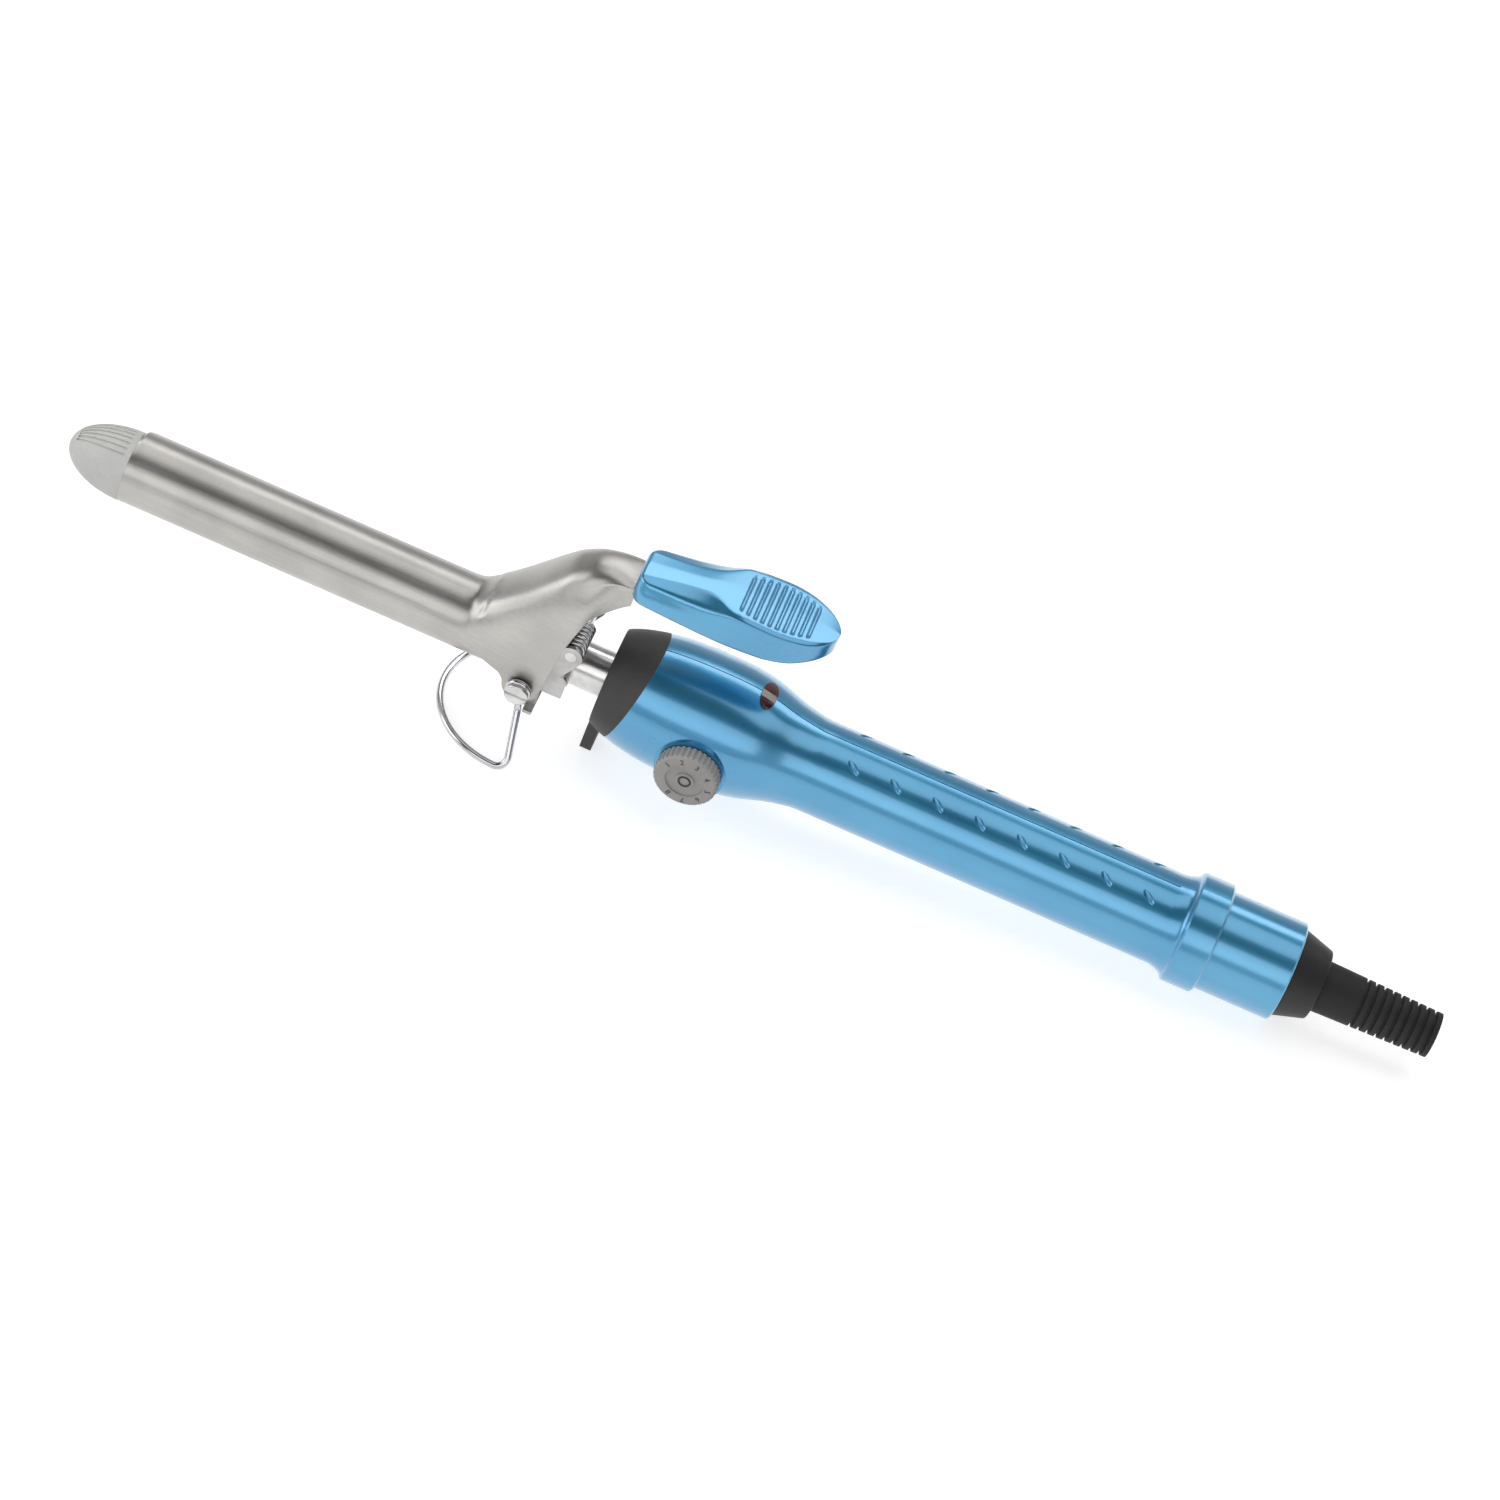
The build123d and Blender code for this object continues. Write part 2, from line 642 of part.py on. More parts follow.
def make_thumb_rest():
    pad_top = rest_low + rest_pad_h
    front_top = rest_low + rest_front_h
    pad_start = rest_front + rest_pad_start
    flat_end = (rest_front + rest_flat, rest_low)
    nose = (rest_rear + clear_gap, rest_low + rest_nose)
    pad_end = (rest_rear - 0.8 * rest_oval, pad_top)
    pad_front = (pad_start + rest_first_rib - rest_rib_gap, pad_top - rest_pad_drop)
    lip = (rest_front, front_top)
    heel = (rest_front, rest_low)
    side = [Line(heel, flat_end),
            Spline(flat_end, (rest_rear - rest_oval / 2, rest_low + 0.3 * rest_nose), nose,
                   tangents=((1, 0), (0.15, 1))),
            Spline(nose, (rest_rear - rest_oval / 4, pad_top - rest_rib_depth), pad_end,
                   tangents=((0, 1), (-1, 0))),
            Line(pad_end, pad_front),
            Spline(pad_front, (pad_start - rest_scoop_r / 2, front_top + rest_scoop_r / 3), lip,
                   tangents=((-1, -0.02), (-1, -0.08))),
            Line(lip, heel)]
    body = extrude(Plane.XZ * make_face(side), 2 * rest_pad_half_w, both=True)
    oval_x = rest_rear - rest_oval
    near_corner = 0.3 * rest_corner_r
    half = [(rest_front, rest_front_half_w - rest_corner_r),
            (rest_front + near_corner, rest_front_half_w - near_corner),
            (rest_front + rest_corner_r, rest_front_half_w),
            (pad_start, (rest_front_half_w + rest_pad_half_w) / 2), (oval_x, rest_pad_half_w)]
    right = Spline(*half, tangents=((0, 1), (1, 0)))
    left = Spline(*[(x, -y) for x, y in half], tangents=((0, -1), (1, 0)))
    oval = EllipticalCenterArc((oval_x, 0), rest_oval, rest_pad_half_w, start_angle=-90, arc_size=180)
    plan = make_face([right, left, oval, Line(half[0], (half[0][0], -half[0][1]))])
    body &= Pos(0, 0, rest_low - 1) * extrude(plan, rest_pad_h + 2)
    scoop_front = rest_front + rest_corner_r + rest_scoop_r
    scoop_rear = pad_start - rest_scoop_r / 3
    for side_y in (-1, 1):
        y = side_y * (rest_front_half_w + rest_scoop_r / 2)
        z = front_top + rest_scoop_r / 3
        scoop = rod_x(rest_scoop_r, scoop_front, scoop_rear, y, z)
        scoop += sphere(rest_scoop_r, (scoop_front, y, z)) + sphere(rest_scoop_r, (scoop_rear, y, z))
        body -= scoop
    for index in range(rest_rib_count):
        x = pad_start + rest_first_rib + index * rest_rib_pitch
        away = (index - rest_rib_middle) / rest_rib_taper
        half_w = rest_rib_share * rest_pad_half_w * math.sqrt(max(0.2, 1 - away ** 2))
        body -= block(x, x + rest_rib_gap, -half_w, half_w, pad_top - rest_rib_depth, pad_top + 1)
    slot = block(rest_front - 1, rest_front + tongue_len + fit_gap, -tongue_half_w - fit_gap,
                 tongue_half_w + fit_gap, rest_low - 1, strap_z)
    for x in rest_screw_xs:
        slot += rod_z(rest_screw_d / 2, strap_z, strap_z + rest_screw_len + fit_gap, x, 0)
    return body - slot


def make_thumb_rest_screws():
    screws = []
    for x in rest_screw_xs:
        screw = rod_z(rest_screw_d / 2, tongue_z, strap_z + rest_screw_len, x, 0)
        screw += rod_z(rest_screw_head_d / 2, rest_low + clear_gap, tongue_z, x, 0)
        screws.append(screw.solid())
    return Compound(children=screws)


# Heat shield and handle shells
def handle_form(offset, x_end):
    # Solid of the head and grip, grown or shrunk by offset.
    points = [(x, r + offset) for x, r in head_outline]
    head = Spline(*points, tangents=((1, head_front_slope), (1, 0)))
    start = points[0]
    last = points[-1]
    grip = Line(last, (x_end, last[1]))
    return spun([head, grip, Line((x_end, last[1]), (x_end, 0)), Line((x_end, 0), (start[0], 0)),
                 Line((start[0], 0), start)])


def behind_joint():
    reach = 400.0
    return Pos(shield_mid, 0, 0) * Rot(0, shield_tilt, 0) * Pos(reach / 2, 0, 0) * Box(reach, reach, reach)


def make_heat_shield():
    form = handle_form(0, band_start) - behind_joint()
    form = fillet(form.edges().filter_by(GeomType.CIRCLE).group_by(Axis.X)[0], shield_edge_r)
    wide = 2 * head_r
    back = shield_front + shield_wall
    hollow = handle_form(-shell_wall, band_start) & block(back, band_start, -wide, wide, -wide, wide)
    tab = block(shield_front, back, -shield_tab_w / 2, shield_tab_w / 2, -shield_tab_reach, 0)
    tab = fillet(tab.edges().filter_by(Axis.X).group_by(Axis.Z)[0], shield_tab_r)
    return form - hollow + tab - rod_x(neck_r + fit_gap, shield_front - 1, shield_mid)


def dimple(x, side):
    across = grip_r + dimple_w
    cut = scale(Sphere(1), by=(dimple_len / 2, dimple_w / 2, dimple_w))
    place = Rot(side * dimple_side, 0, 0) * Pos(x, 0, across - dimple_depth)
    return place * Rot(0, 0, -side * dimple_slant) * cut


def shells_whole():
    form = handle_form(0, band_end)
    edge_r = band_r - band_bevel
    edge_x = band_start + band_bevel
    rear_x = band_end - band_rear_bevel
    rear_r = band_r - band_rear_bevel
    flare = [Line((grip_end, 0), (grip_end, grip_r)),
             Spline((grip_end, grip_r), (band_start - flare_lead, grip_r + flare_rise), (band_start, edge_r),
                    tangents=((1, 0), (0.25, 1))),
             Line((band_start, edge_r), (edge_x, band_r)), Line((edge_x, band_r), (rear_x, band_r)),
             Line((rear_x, band_r), (band_end, rear_r)), Line((band_end, rear_r), (band_end, 0)),
             Line((band_end, 0), (grip_end, 0))]
    form += spun(flare)
    form += rod_x(collar_r - collar_wall - fit_gap, band_end - 1, band_end + spigot_len)
    form += rod_y(dial_boss_d / 2, -dial_seat, -can_face, dial_x, dial_z)
    hollow = handle_form(-shell_wall, band_end + spigot_len)
    hollow -= rod_y(dial_boss_d / 2 - 1, -2 * band_r, -can_face, dial_x, dial_z)
    for x, z, reach in shell_screw_places:
        hollow -= rod_y(boss_d / 2, -reach, 0, x, z)
        hollow -= rod_y(screw_bore_r + boss_wall, 0, reach, x, z)
    shell = (form - hollow) & behind_joint()
    shell -= rod_y(bush_thread_d / 2 + fit_gap, -2 * band_r, -1, dial_x, dial_z)
    shell -= lens_form(fit_gap, lens_cut)
    skin = handle_form(seam_depth, grip_end) - handle_form(-seam_depth, grip_end)
    shell -= skin & block(shield_front, grip_end, -seam_w / 2, seam_w / 2, -2 * head_r, 2 * head_r)
    for x, z, reach in shell_screw_places:
        seat = reach - shell_screw_depth
        shell -= rod_y(shell_screw_d / 2 + fit_gap, seat - shell_screw_len - clear_gap, seat, x, z)
        shell -= rod_y(screw_bore_r, seat, 2 * head_r, x, z)
    for index in range(dimple_count):
        for side in (-1, 1):
            shell -= dimple(dimple_start + index * dimple_pitch, side)
    return shell


def lens_form(gap, proud):
    radius = lens_len / 2 + gap
    top = 2 * head_r
    bottom = lens_top_r - lens_depth - gap
    plug = Pos(lens_x, 0, bottom) * extrude(Ellipse(radius, lens_w / 2 + gap), top)
    return plug & handle_form(proud, grip_end)


def make_indicator_lens():
    return lens_form(0, lens_proud)


def make_indicator_lamp():
    z = lens_top_r - lens_depth - lamp_d / 2 - fit_gap
    return rod_y(lamp_d / 2, -lamp_len / 2, lamp_len / 2, lens_x, z)


def make_shell_screws():
    screws = []
    for x, z, reach in shell_screw_places:
        seat = reach - shell_screw_depth
        screw = rod_y(shell_screw_d / 2, seat - shell_screw_len, seat, x, z)
        screw += rod_y(shell_screw_head_d / 2, seat, seat + shell_screw_head_h, x, z)
        screws.append(screw.solid())
    return Compound(children=screws)


def make_end_collar():
    floor_x = collar_end - collar_floor
    sleeve = tube_x(collar_r, collar_r - collar_wall, band_end, floor_x)
    sleeve += tube_x(collar_r, swivel_stem_d / 2 + run_gap, floor_x, collar_end)
    rims = sleeve.edges().filter_by(GeomType.CIRCLE).group_by(Axis.X)[-1]
    return chamfer(rims.sort_by(SortBy.RADIUS)[-1:], collar_floor / 4)


# Dial and rheostat
def make_dial_knob():
    back = dial_seat + clear_gap
    face = back + dial_h
    knob = rod_y(dial_d / 2, -face, -back, dial_x, dial_z)
    knob = chamfer(knob.edges().group_by(Axis.Y)[0], 2 * dial_notch_r)
    knob -= rod_y(dial_d / 2 - dial_rim, -face - 1, -face + dial_dish, dial_x, dial_z)
    knob += rod_y(dial_button_d / 2, -face, -face + 2 * dial_dish, dial_x, dial_z)
    for index in range(dial_notches):
        turn = math.tau * index / dial_notches
        x = dial_x + dial_d / 2 * math.cos(turn)
        z = dial_z + dial_d / 2 * math.sin(turn)
        knob -= rod_y(dial_notch_r, -face - 1, -back + 1, x, z)
    knob -= rod_y(nut_d / 2 + 2 * clear_gap, -dial_seat - nut_h - clear_gap, -back + 1, dial_x, dial_z)
    return knob - rod_y(shaft_d / 2 + run_gap / 5, -face + clear_gap + dial_roof, -back + 1, dial_x, dial_z)


def make_rheostat_shaft():
    return rod_y(shaft_d / 2, -dial_seat - dial_h + dial_roof, -can_face + can_h - can_floor, dial_x, dial_z)


def make_rheostat_body():
    body = rod_y(can_d / 2, -can_face, -can_face + can_h, dial_x, dial_z)
    body += rod_y(bush_thread_d / 2, -dial_seat - nut_h, -can_face, dial_x, dial_z)
    bore_end = -can_face + can_h - can_floor + clear_gap
    return body - rod_y(shaft_d / 2 + run_gap, -2 * dial_seat, bore_end, dial_x, dial_z)


def make_rheostat_nut():
    nut = Pos(dial_x, -dial_seat, dial_z) * Rot(90, 0, 0) * extrude(RegularPolygon(nut_d / 2, 6), nut_h)
    return nut - rod_y(bush_thread_d / 2 + fit_gap, -2 * dial_seat, 0, dial_x, dial_z)


# Control board in the grip
def make_control_board():
    return block(board_start, board_end, -board_half_w, board_half_w, board_z, board_top)


def make_filter_capacitor():
    x = board_start + capacitor_x
    half = capacitor_size / 2
    return block(x, x + capacitor_len, -half, half, board_top, board_top + capacitor_size)


def make_switching_triac():
    x = board_start + triac_x
    body_x = x + triac_tab_t
    half = triac_w / 2
    tab = block(x, body_x, -half, half, board_top, board_top + triac_tab_h)
    return tab + block(body_x, body_x + triac_body_t, -half, half, board_top, board_top + triac_body_h)


def make_board_resistors():
    x = board_start + resistor_x
    z = board_top + resistor_d / 2 + fit_gap
    rows = [rod_x(resistor_d / 2, x, x + resistor_len, place * resistor_pitch, z)
            for place in (-1.5, -0.5, 0.5, 1.5)]
    return Compound(children=[row.solid() for row in rows])


def make_thermal_fuse():
    x = board_start + fuse_x
    return rod_x(fuse_d / 2, x, x + fuse_len, 0, board_top + fuse_d / 2 + fit_gap)


def leads(x0, x1):
    wires = [rod_x(lead_d / 2, x0, x1, y, lead_z) for y in (-lead_side, lead_side)]
    return Compound(children=[wire.solid() for wire in wires])


def make_heater_leads():
    return leads(core_rear + fit_gap, board_start + lead_front_lap)


def make_supply_leads():
    return leads(board_end - lead_rear_lap, holder_front - fit_gap)


# Swivel at the tail
def make_swivel_cone():
    cone = spun([Line((swivel_start, 0), (swivel_start, swivel_start_r)),
                 Line((swivel_start, swivel_start_r), (swivel_end, swivel_end_r)),
                 Line((swivel_end, swivel_end_r), (swivel_end, 0)), Line((swivel_end, 0), (swivel_start, 0))])
    cone = fillet(cone.edges().filter_by(GeomType.CIRCLE).group_by(Axis.X)[-1], swivel_edge_r)
    cone += rod_x(swivel_stem_d / 2, hub_rear, swivel_start)
    return cone - rod_x(relief_bore / 2, hub_rear - 1, swivel_end + 1)


def make_swivel_hub():
    hub = rod_x(hub_flange_d / 2, hub_rear - hub_flange_t, hub_rear)
    hub += rod_x(hub_d / 2, hub_rear - hub_flange_t - hub_len, hub_rear)
    return hub - rod_x(relief_bore / 2, hub_rear - hub_flange_t - hub_bore_depth, hub_rear)


def make_slip_rings():
    rings = [tube_x(hub_d / 2 + fit_gap + ring_t, hub_d / 2 + fit_gap, x, x + ring_w)
             for x in (ring_front, ring_front + ring_pitch)]
    return Compound(children=[ring.solid() for ring in rings])


def make_brush_holder():
    return rod_x(inner_r - fit_gap, holder_front, holder_front + holder_t)


def make_contact_brushes():
    low = hub_d / 2 + ring_t + 3 * fit_gap
    start = holder_front + holder_t
    upper = block(start, ring_front + ring_w, -brush_w / 2, brush_w / 2, low, low + brush_t)
    lower = block(start, ring_front + ring_pitch + ring_w, -brush_w / 2, brush_w / 2, -low - brush_t, -low)
    return Compound(children=[upper.solid(), lower.solid()])


def make_strain_relief():
    taper = (relief_start_r - relief_end_r) / relief_len
    boot = spun([Line((swivel_end, 0), (swivel_end, relief_start_r)),
                 Line((swivel_end, relief_start_r), (relief_end, relief_end_r)),
                 Line((relief_end, relief_end_r), (relief_end, 0)), Line((relief_end, 0), (swivel_end, 0))])
    pitch = (relief_len - relief_plain) / relief_ribs
    for index in range(relief_ribs):
        x = swivel_end + relief_plain + index * pitch
        radius = relief_start_r - taper * (x - swivel_end)
        boot -= tube_x(2 * relief_start_r, radius - relief_rib_depth, x, x + relief_rib_gap)
    return boot - rod_x(relief_bore / 2, swivel_end, relief_end)


def half_of(shell, side):
    reach = 4 * band_r
    keep = block(tip_end, relief_end, min(0, reach * side), max(0, reach * side), -reach, reach)
    return shell & keep


shell = shells_whole()
pieces = {
    "barrel_tube": make_barrel_tube(), "cool_tip": make_cool_tip(), "heater_core": make_heater_core(),
    "core_spacers": make_core_spacers(), "heater_winding": make_heater_winding(),
    "barrel_bush": make_barrel_bush(), "neck_tube": make_neck_tube(), "neck_bush": make_neck_bush(),
    "pivot_bracket": make_pivot_bracket(), "pivot_screws": make_pivot_screws(),
    "spring_pin": make_spring_pin(), "clamp_spring": make_clamp_spring(),
    "stand_wire": make_stand_wire(), "clamp": make_clamp(),
    "thumb_rest": make_thumb_rest(), "thumb_rest_screws": make_thumb_rest_screws(),
    "heat_shield": make_heat_shield(), "dial_side_shell": half_of(shell, -1),
    "plain_side_shell": half_of(shell, 1),
    "shell_screws": make_shell_screws(), "indicator_lens": make_indicator_lens(),
    "indicator_lamp": make_indicator_lamp(), "end_collar": make_end_collar(), "dial_knob": make_dial_knob(),
    "rheostat_shaft": make_rheostat_shaft(), "rheostat_body": make_rheostat_body(),
    "rheostat_nut": make_rheostat_nut(), "control_board": make_control_board(),
    "filter_capacitor": make_filter_capacitor(), "switching_triac": make_switching_triac(),
    "board_resistors": make_board_resistors(), "thermal_fuse": make_thermal_fuse(),
    "heater_leads": make_heater_leads(), "supply_leads": make_supply_leads(),
    "swivel_cone": make_swivel_cone(),
    "swivel_hub": make_swivel_hub(), "slip_rings": make_slip_rings(), "brush_holder": make_brush_holder(),
    "contact_brushes": make_contact_brushes(), "strain_relief": make_strain_relief()}

# The frame's origin: the middle of the footprint, at the lowest point of the foot
floor_z = pieces["stand_wire"].bounding_box().min.Z
to_frame = Pos(-(tip_end + relief_end) / 2, 0, -floor_z)
print("frame offset", to_frame.position)

os.makedirs("parts", exist_ok=True)
for name, piece in pieces.items():
    export_step(to_frame * piece, f"parts/{name}.step")
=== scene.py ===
import json
import bmesh
import bpy
import numpy as np
from math import cos, pi, radians, sin
from mathutils import Matrix, Vector


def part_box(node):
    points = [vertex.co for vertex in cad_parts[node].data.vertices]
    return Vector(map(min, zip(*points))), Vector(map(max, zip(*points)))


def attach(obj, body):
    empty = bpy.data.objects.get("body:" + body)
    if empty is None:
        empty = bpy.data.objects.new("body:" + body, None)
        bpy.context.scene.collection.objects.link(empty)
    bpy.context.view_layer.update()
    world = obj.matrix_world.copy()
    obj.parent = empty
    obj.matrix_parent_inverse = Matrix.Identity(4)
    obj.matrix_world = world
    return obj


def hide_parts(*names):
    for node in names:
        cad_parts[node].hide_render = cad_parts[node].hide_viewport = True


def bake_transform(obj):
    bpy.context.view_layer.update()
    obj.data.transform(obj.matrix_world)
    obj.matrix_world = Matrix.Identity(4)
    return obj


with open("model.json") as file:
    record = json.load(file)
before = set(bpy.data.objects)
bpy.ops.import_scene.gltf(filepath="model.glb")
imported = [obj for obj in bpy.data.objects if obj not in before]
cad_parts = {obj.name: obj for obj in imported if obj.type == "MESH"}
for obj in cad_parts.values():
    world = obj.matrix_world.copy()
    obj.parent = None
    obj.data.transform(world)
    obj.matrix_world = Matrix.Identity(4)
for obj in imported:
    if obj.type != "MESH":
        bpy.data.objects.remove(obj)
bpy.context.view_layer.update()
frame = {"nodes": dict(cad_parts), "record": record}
mm = 0.001
samePoint = 1e-6  # points nearer than this, in metres, are merged

# places taken from the frame: the clamp pivot gives x = 0, the barrel's middle gives the iron's axis
jointPlace = {joint["name"]: Vector(joint["pos_m"]) for joint in frame["record"]["behaviour"]["joints"]}
pivotX = jointPlace["clamp_pivot"].x
barrelLow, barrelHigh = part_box("barrel_tube")
axisZ = (barrelLow[2] + barrelHigh[2]) / 2
print("frame loaded,", len(frame["nodes"]), "pieces, axis at", round(axisZ, 5))


def toFrame(x, y, z):  # millimetres from the pivot and the axis, to metres in the frame
    x, y, z = np.broadcast_arrays(x, y, z)
    return np.stack([pivotX + x * mm, y * mm, axisZ + z * mm], -1)


# shader maths: a Sock holds an output, and expressions on it add Math nodes
class Sock:
    def __init__(self, shader, out):
        self.shader = shader
        self.out = out

    def math(self, operation, other):
        return self.shader.node("ShaderNodeMath", {"operation": operation}, {0: self, 1: other})

    def __add__(self, other):
        return self.math("ADD", other)

    __radd__ = __add__

    def __mul__(self, other):
        return self.math("MULTIPLY", other)

    __rmul__ = __mul__

    def smooth(self, low, high):  # 0 below low, 1 above high
        settings = {"interpolation_type": "SMOOTHSTEP"}
        return self.shader.node("ShaderNodeMapRange", settings, {0: self, 1: low, 2: high})


# a Shader holds a material, or the world, and the nodes that are added to it
class Shader:
    def __init__(self, name, owner=None):
        self.material = owner or bpy.data.materials.new(name)
        self.material.use_nodes = True
        self.tree = self.material.node_tree
        self.base = self.tree.nodes["Background" if owner else "Principled BSDF"]

    def node(self, kind, settings=None, inputs=None, out=0):
        made = self.tree.nodes.new(kind)
        for key, value in (settings or {}).items():
            setattr(made, key, value)
        for key, value in (inputs or {}).items():
            self.feed(made.inputs[key], value)
        return Sock(self, made.outputs[out])

    def feed(self, socket, value):
        if isinstance(value, Sock):
            self.tree.links.new(value.out, socket)
        elif socket.type == "RGBA":
            socket.default_value = (*value, 1)
        else:
            socket.default_value = value

    def set(self, **values):
        for key, value in values.items():
            self.feed(self.base.inputs[key.replace("_", " ")], value)
        return self.material

    def place(self, scale=(1, 1, 1)):
        spot = self.node("ShaderNodeTexCoord", out="Object")
        return self.node("ShaderNodeMapping", None, {"Vector": spot, "Scale": scale})

    def noise(self, where, scale, detail=3.0, rough=0.55):
        inputs = {"Vector": where, "Scale": scale, "Detail": detail, "Roughness": rough}
        return self.node("ShaderNodeTexNoise", None, inputs)

    def mix(self, factor, a, b):  # 6, 7 and 2 are the node's colour sockets
        return self.node("ShaderNodeMix", {"data_type": "RGBA"}, {0: factor, 6: a, 7: b}, out=2)

    def tone(self, pattern, dark, light):  # dark to light over the middle of the pattern's range
        return self.mix(pattern.smooth(0.3, 0.7), dark, light)

    def bump(self, height, strength, distance):
        inputs = {"Height": height, "Strength": strength, "Distance": distance}
        return self.node("ShaderNodeBump", None, inputs)


# finishes: clouds, grains and lines are the noises' scales, bump and depth say how far the grain stands out
def brushedTitanium():
    look = dict(light=(0.53, 0.515, 0.49), dark=(0.41, 0.40, 0.38), rough=0.28, stretch=(0.02, 1, 1),
                lines=1680, clouds=60, grains=2600, bump=0.06, depth=0.00005)
    sh = Shader("brushedTitanium")
    streak = sh.noise(sh.place(look["stretch"]), look["lines"], 2)
    cloud = sh.noise(sh.place(), look["clouds"], 4)
    grain = sh.noise(sh.place(), look["grains"], 2)
    shade = streak * 0.3 + cloud * 0.5 + grain * 0.2
    return sh.set(Base_Color=sh.tone(shade, look["dark"], look["light"]), Metallic=1.0,
                  Roughness=look["rough"] + streak * 0.1 + grain * 0.06,
                  Normal=sh.bump(streak * 0.6 + grain * 0.4, look["bump"], look["depth"]))


def paintedBlue():
    look = dict(light=(0.065, 0.36, 0.61), deep=(0.04, 0.30, 0.555), metal=0.7, rough=0.24, coat=1.0,
                coatRough=0.16, coatIor=1.75, clouds=22, peels=260, bump=0.012, depth=0.00006)
    sh = Shader("paintedBlue")
    cloud = sh.noise(sh.place(), look["clouds"])
    peel = sh.noise(sh.place(), look["peels"], 1)
    return sh.set(Base_Color=sh.tone(cloud, look["deep"], look["light"]), Metallic=look["metal"],
                  Roughness=look["rough"] + cloud * 0.06 + peel * 0.03, Coat_Weight=look["coat"],
                  Coat_Roughness=look["coatRough"], Coat_IOR=look["coatIor"],
                  Normal=sh.bump(peel, look["bump"], look["depth"]))


def tipPlastic():
    look = dict(light=(0.72, 0.72, 0.695), dark=(0.62, 0.62, 0.60), rough=0.5, grains=1500, clouds=90,
                bump=0.2, depth=0.00008)
    sh = Shader("tipPlastic")
    grain = sh.noise(sh.place(), look["grains"])
    cloud = sh.noise(sh.place(), look["clouds"])
    return sh.set(Base_Color=sh.tone(grain * 0.4 + cloud * 0.6, look["dark"], look["light"]),
                  Roughness=look["rough"] + grain * 0.15,
                  Normal=sh.bump(grain, look["bump"], look["depth"]))


def polishedSteel(name, light, dark, rough):
    look = dict(stretch=(1, 0.06, 1), lines=1600, smudges=160, bump=0.06, depth=0.00004)
    sh = Shader(name)
    streak = sh.noise(sh.place(look["stretch"]), look["lines"], 2)
    smudge = sh.noise(sh.place(), look["smudges"], 4)
    return sh.set(Base_Color=sh.tone(smudge, dark, light), Metallic=1.0,
                  Roughness=rough + smudge * 0.1 + streak * 0.05,
                  Normal=sh.bump(streak, look["bump"], look["depth"]))


def mouldedPlastic(name, light, dark, rough, grains=1800, bump=0.25):
    look = dict(clouds=70, crisp=0.6, depth=0.00012)
    sh = Shader(name)
    grain = sh.noise(sh.place(), grains, rough=look["crisp"])
    cloud = sh.noise(sh.place(), look["clouds"])
    return sh.set(Base_Color=sh.tone(grain * 0.35 + cloud * 0.65, dark, light),
                  Roughness=rough + grain * 0.14, Normal=sh.bump(grain, bump, look["depth"]))


def redLens():
    look = dict(light=(0.16, 0.035, 0.04), dark=(0.06, 0.012, 0.014), rough=0.12, clear=0.25, ribs=260,
                clouds=260, bump=0.15, depth=0.0001)
    sh = Shader("redLens")
    waves = {"Vector": sh.place(), "Scale": look["ribs"]}
    ribs = sh.node("ShaderNodeTexWave", {"bands_direction": "Y"}, waves)
    cloud = sh.noise(sh.place(), look["clouds"])
    return sh.set(Base_Color=sh.tone(cloud, look["dark"], look["light"]), Coat_Weight=1.0,
                  Transmission_Weight=look["clear"], Roughness=look["rough"] + cloud * 0.1,
                  Normal=sh.bump(ribs, look["bump"], look["depth"]))


# one material for each finish: its name, light and dark colours and roughness
titanium = brushedTitanium()
bluePaint = paintedBlue()
brightSteel = polishedSteel("brightSteel", (0.74, 0.73, 0.72), (0.58, 0.575, 0.57), 0.16)
satinSteel = polishedSteel("satinSteel", (0.56, 0.55, 0.54), (0.42, 0.41, 0.40), 0.3)
chrome = polishedSteel("chrome", (0.66, 0.66, 0.67), (0.54, 0.54, 0.56), 0.07)
brass = polishedSteel("contactBrass", (0.72, 0.52, 0.22), (0.6, 0.42, 0.17), 0.25)
charcoal = mouldedPlastic("charcoalPlastic", (0.062, 0.058, 0.057), (0.042, 0.039, 0.039), 0.48)
blackPlastic = mouldedPlastic("blackPlastic", (0.020, 0.020, 0.020), (0.012, 0.012, 0.012), 0.42)
blackRubber = mouldedPlastic("blackRubber", (0.012, 0.012, 0.012), (0.007, 0.007, 0.007), 0.6, 1200, 0.35)
dialGrey = mouldedPlastic("dialGrey", (0.44, 0.425, 0.405), (0.36, 0.35, 0.335), 0.5)
ceramic = mouldedPlastic("ceramic", (0.52, 0.51, 0.49), (0.44, 0.43, 0.42), 0.55, 900)
heaterWire = mouldedPlastic("heaterWire", (0.25, 0.22, 0.2), (0.16, 0.14, 0.13), 0.5)
boardGreen = mouldedPlastic("boardGreen", (0.035, 0.2, 0.09), (0.025, 0.15, 0.065), 0.35)
resistorBody = mouldedPlastic("resistorBody", (0.5, 0.4, 0.29), (0.42, 0.33, 0.23), 0.45)
leadSleeve = mouldedPlastic("leadSleeve", (0.6, 0.59, 0.56), (0.5, 0.49, 0.47), 0.7)
lampGlass = mouldedPlastic("lampGlass", (0.8, 0.45, 0.36), (0.7, 0.35, 0.28), 0.1)

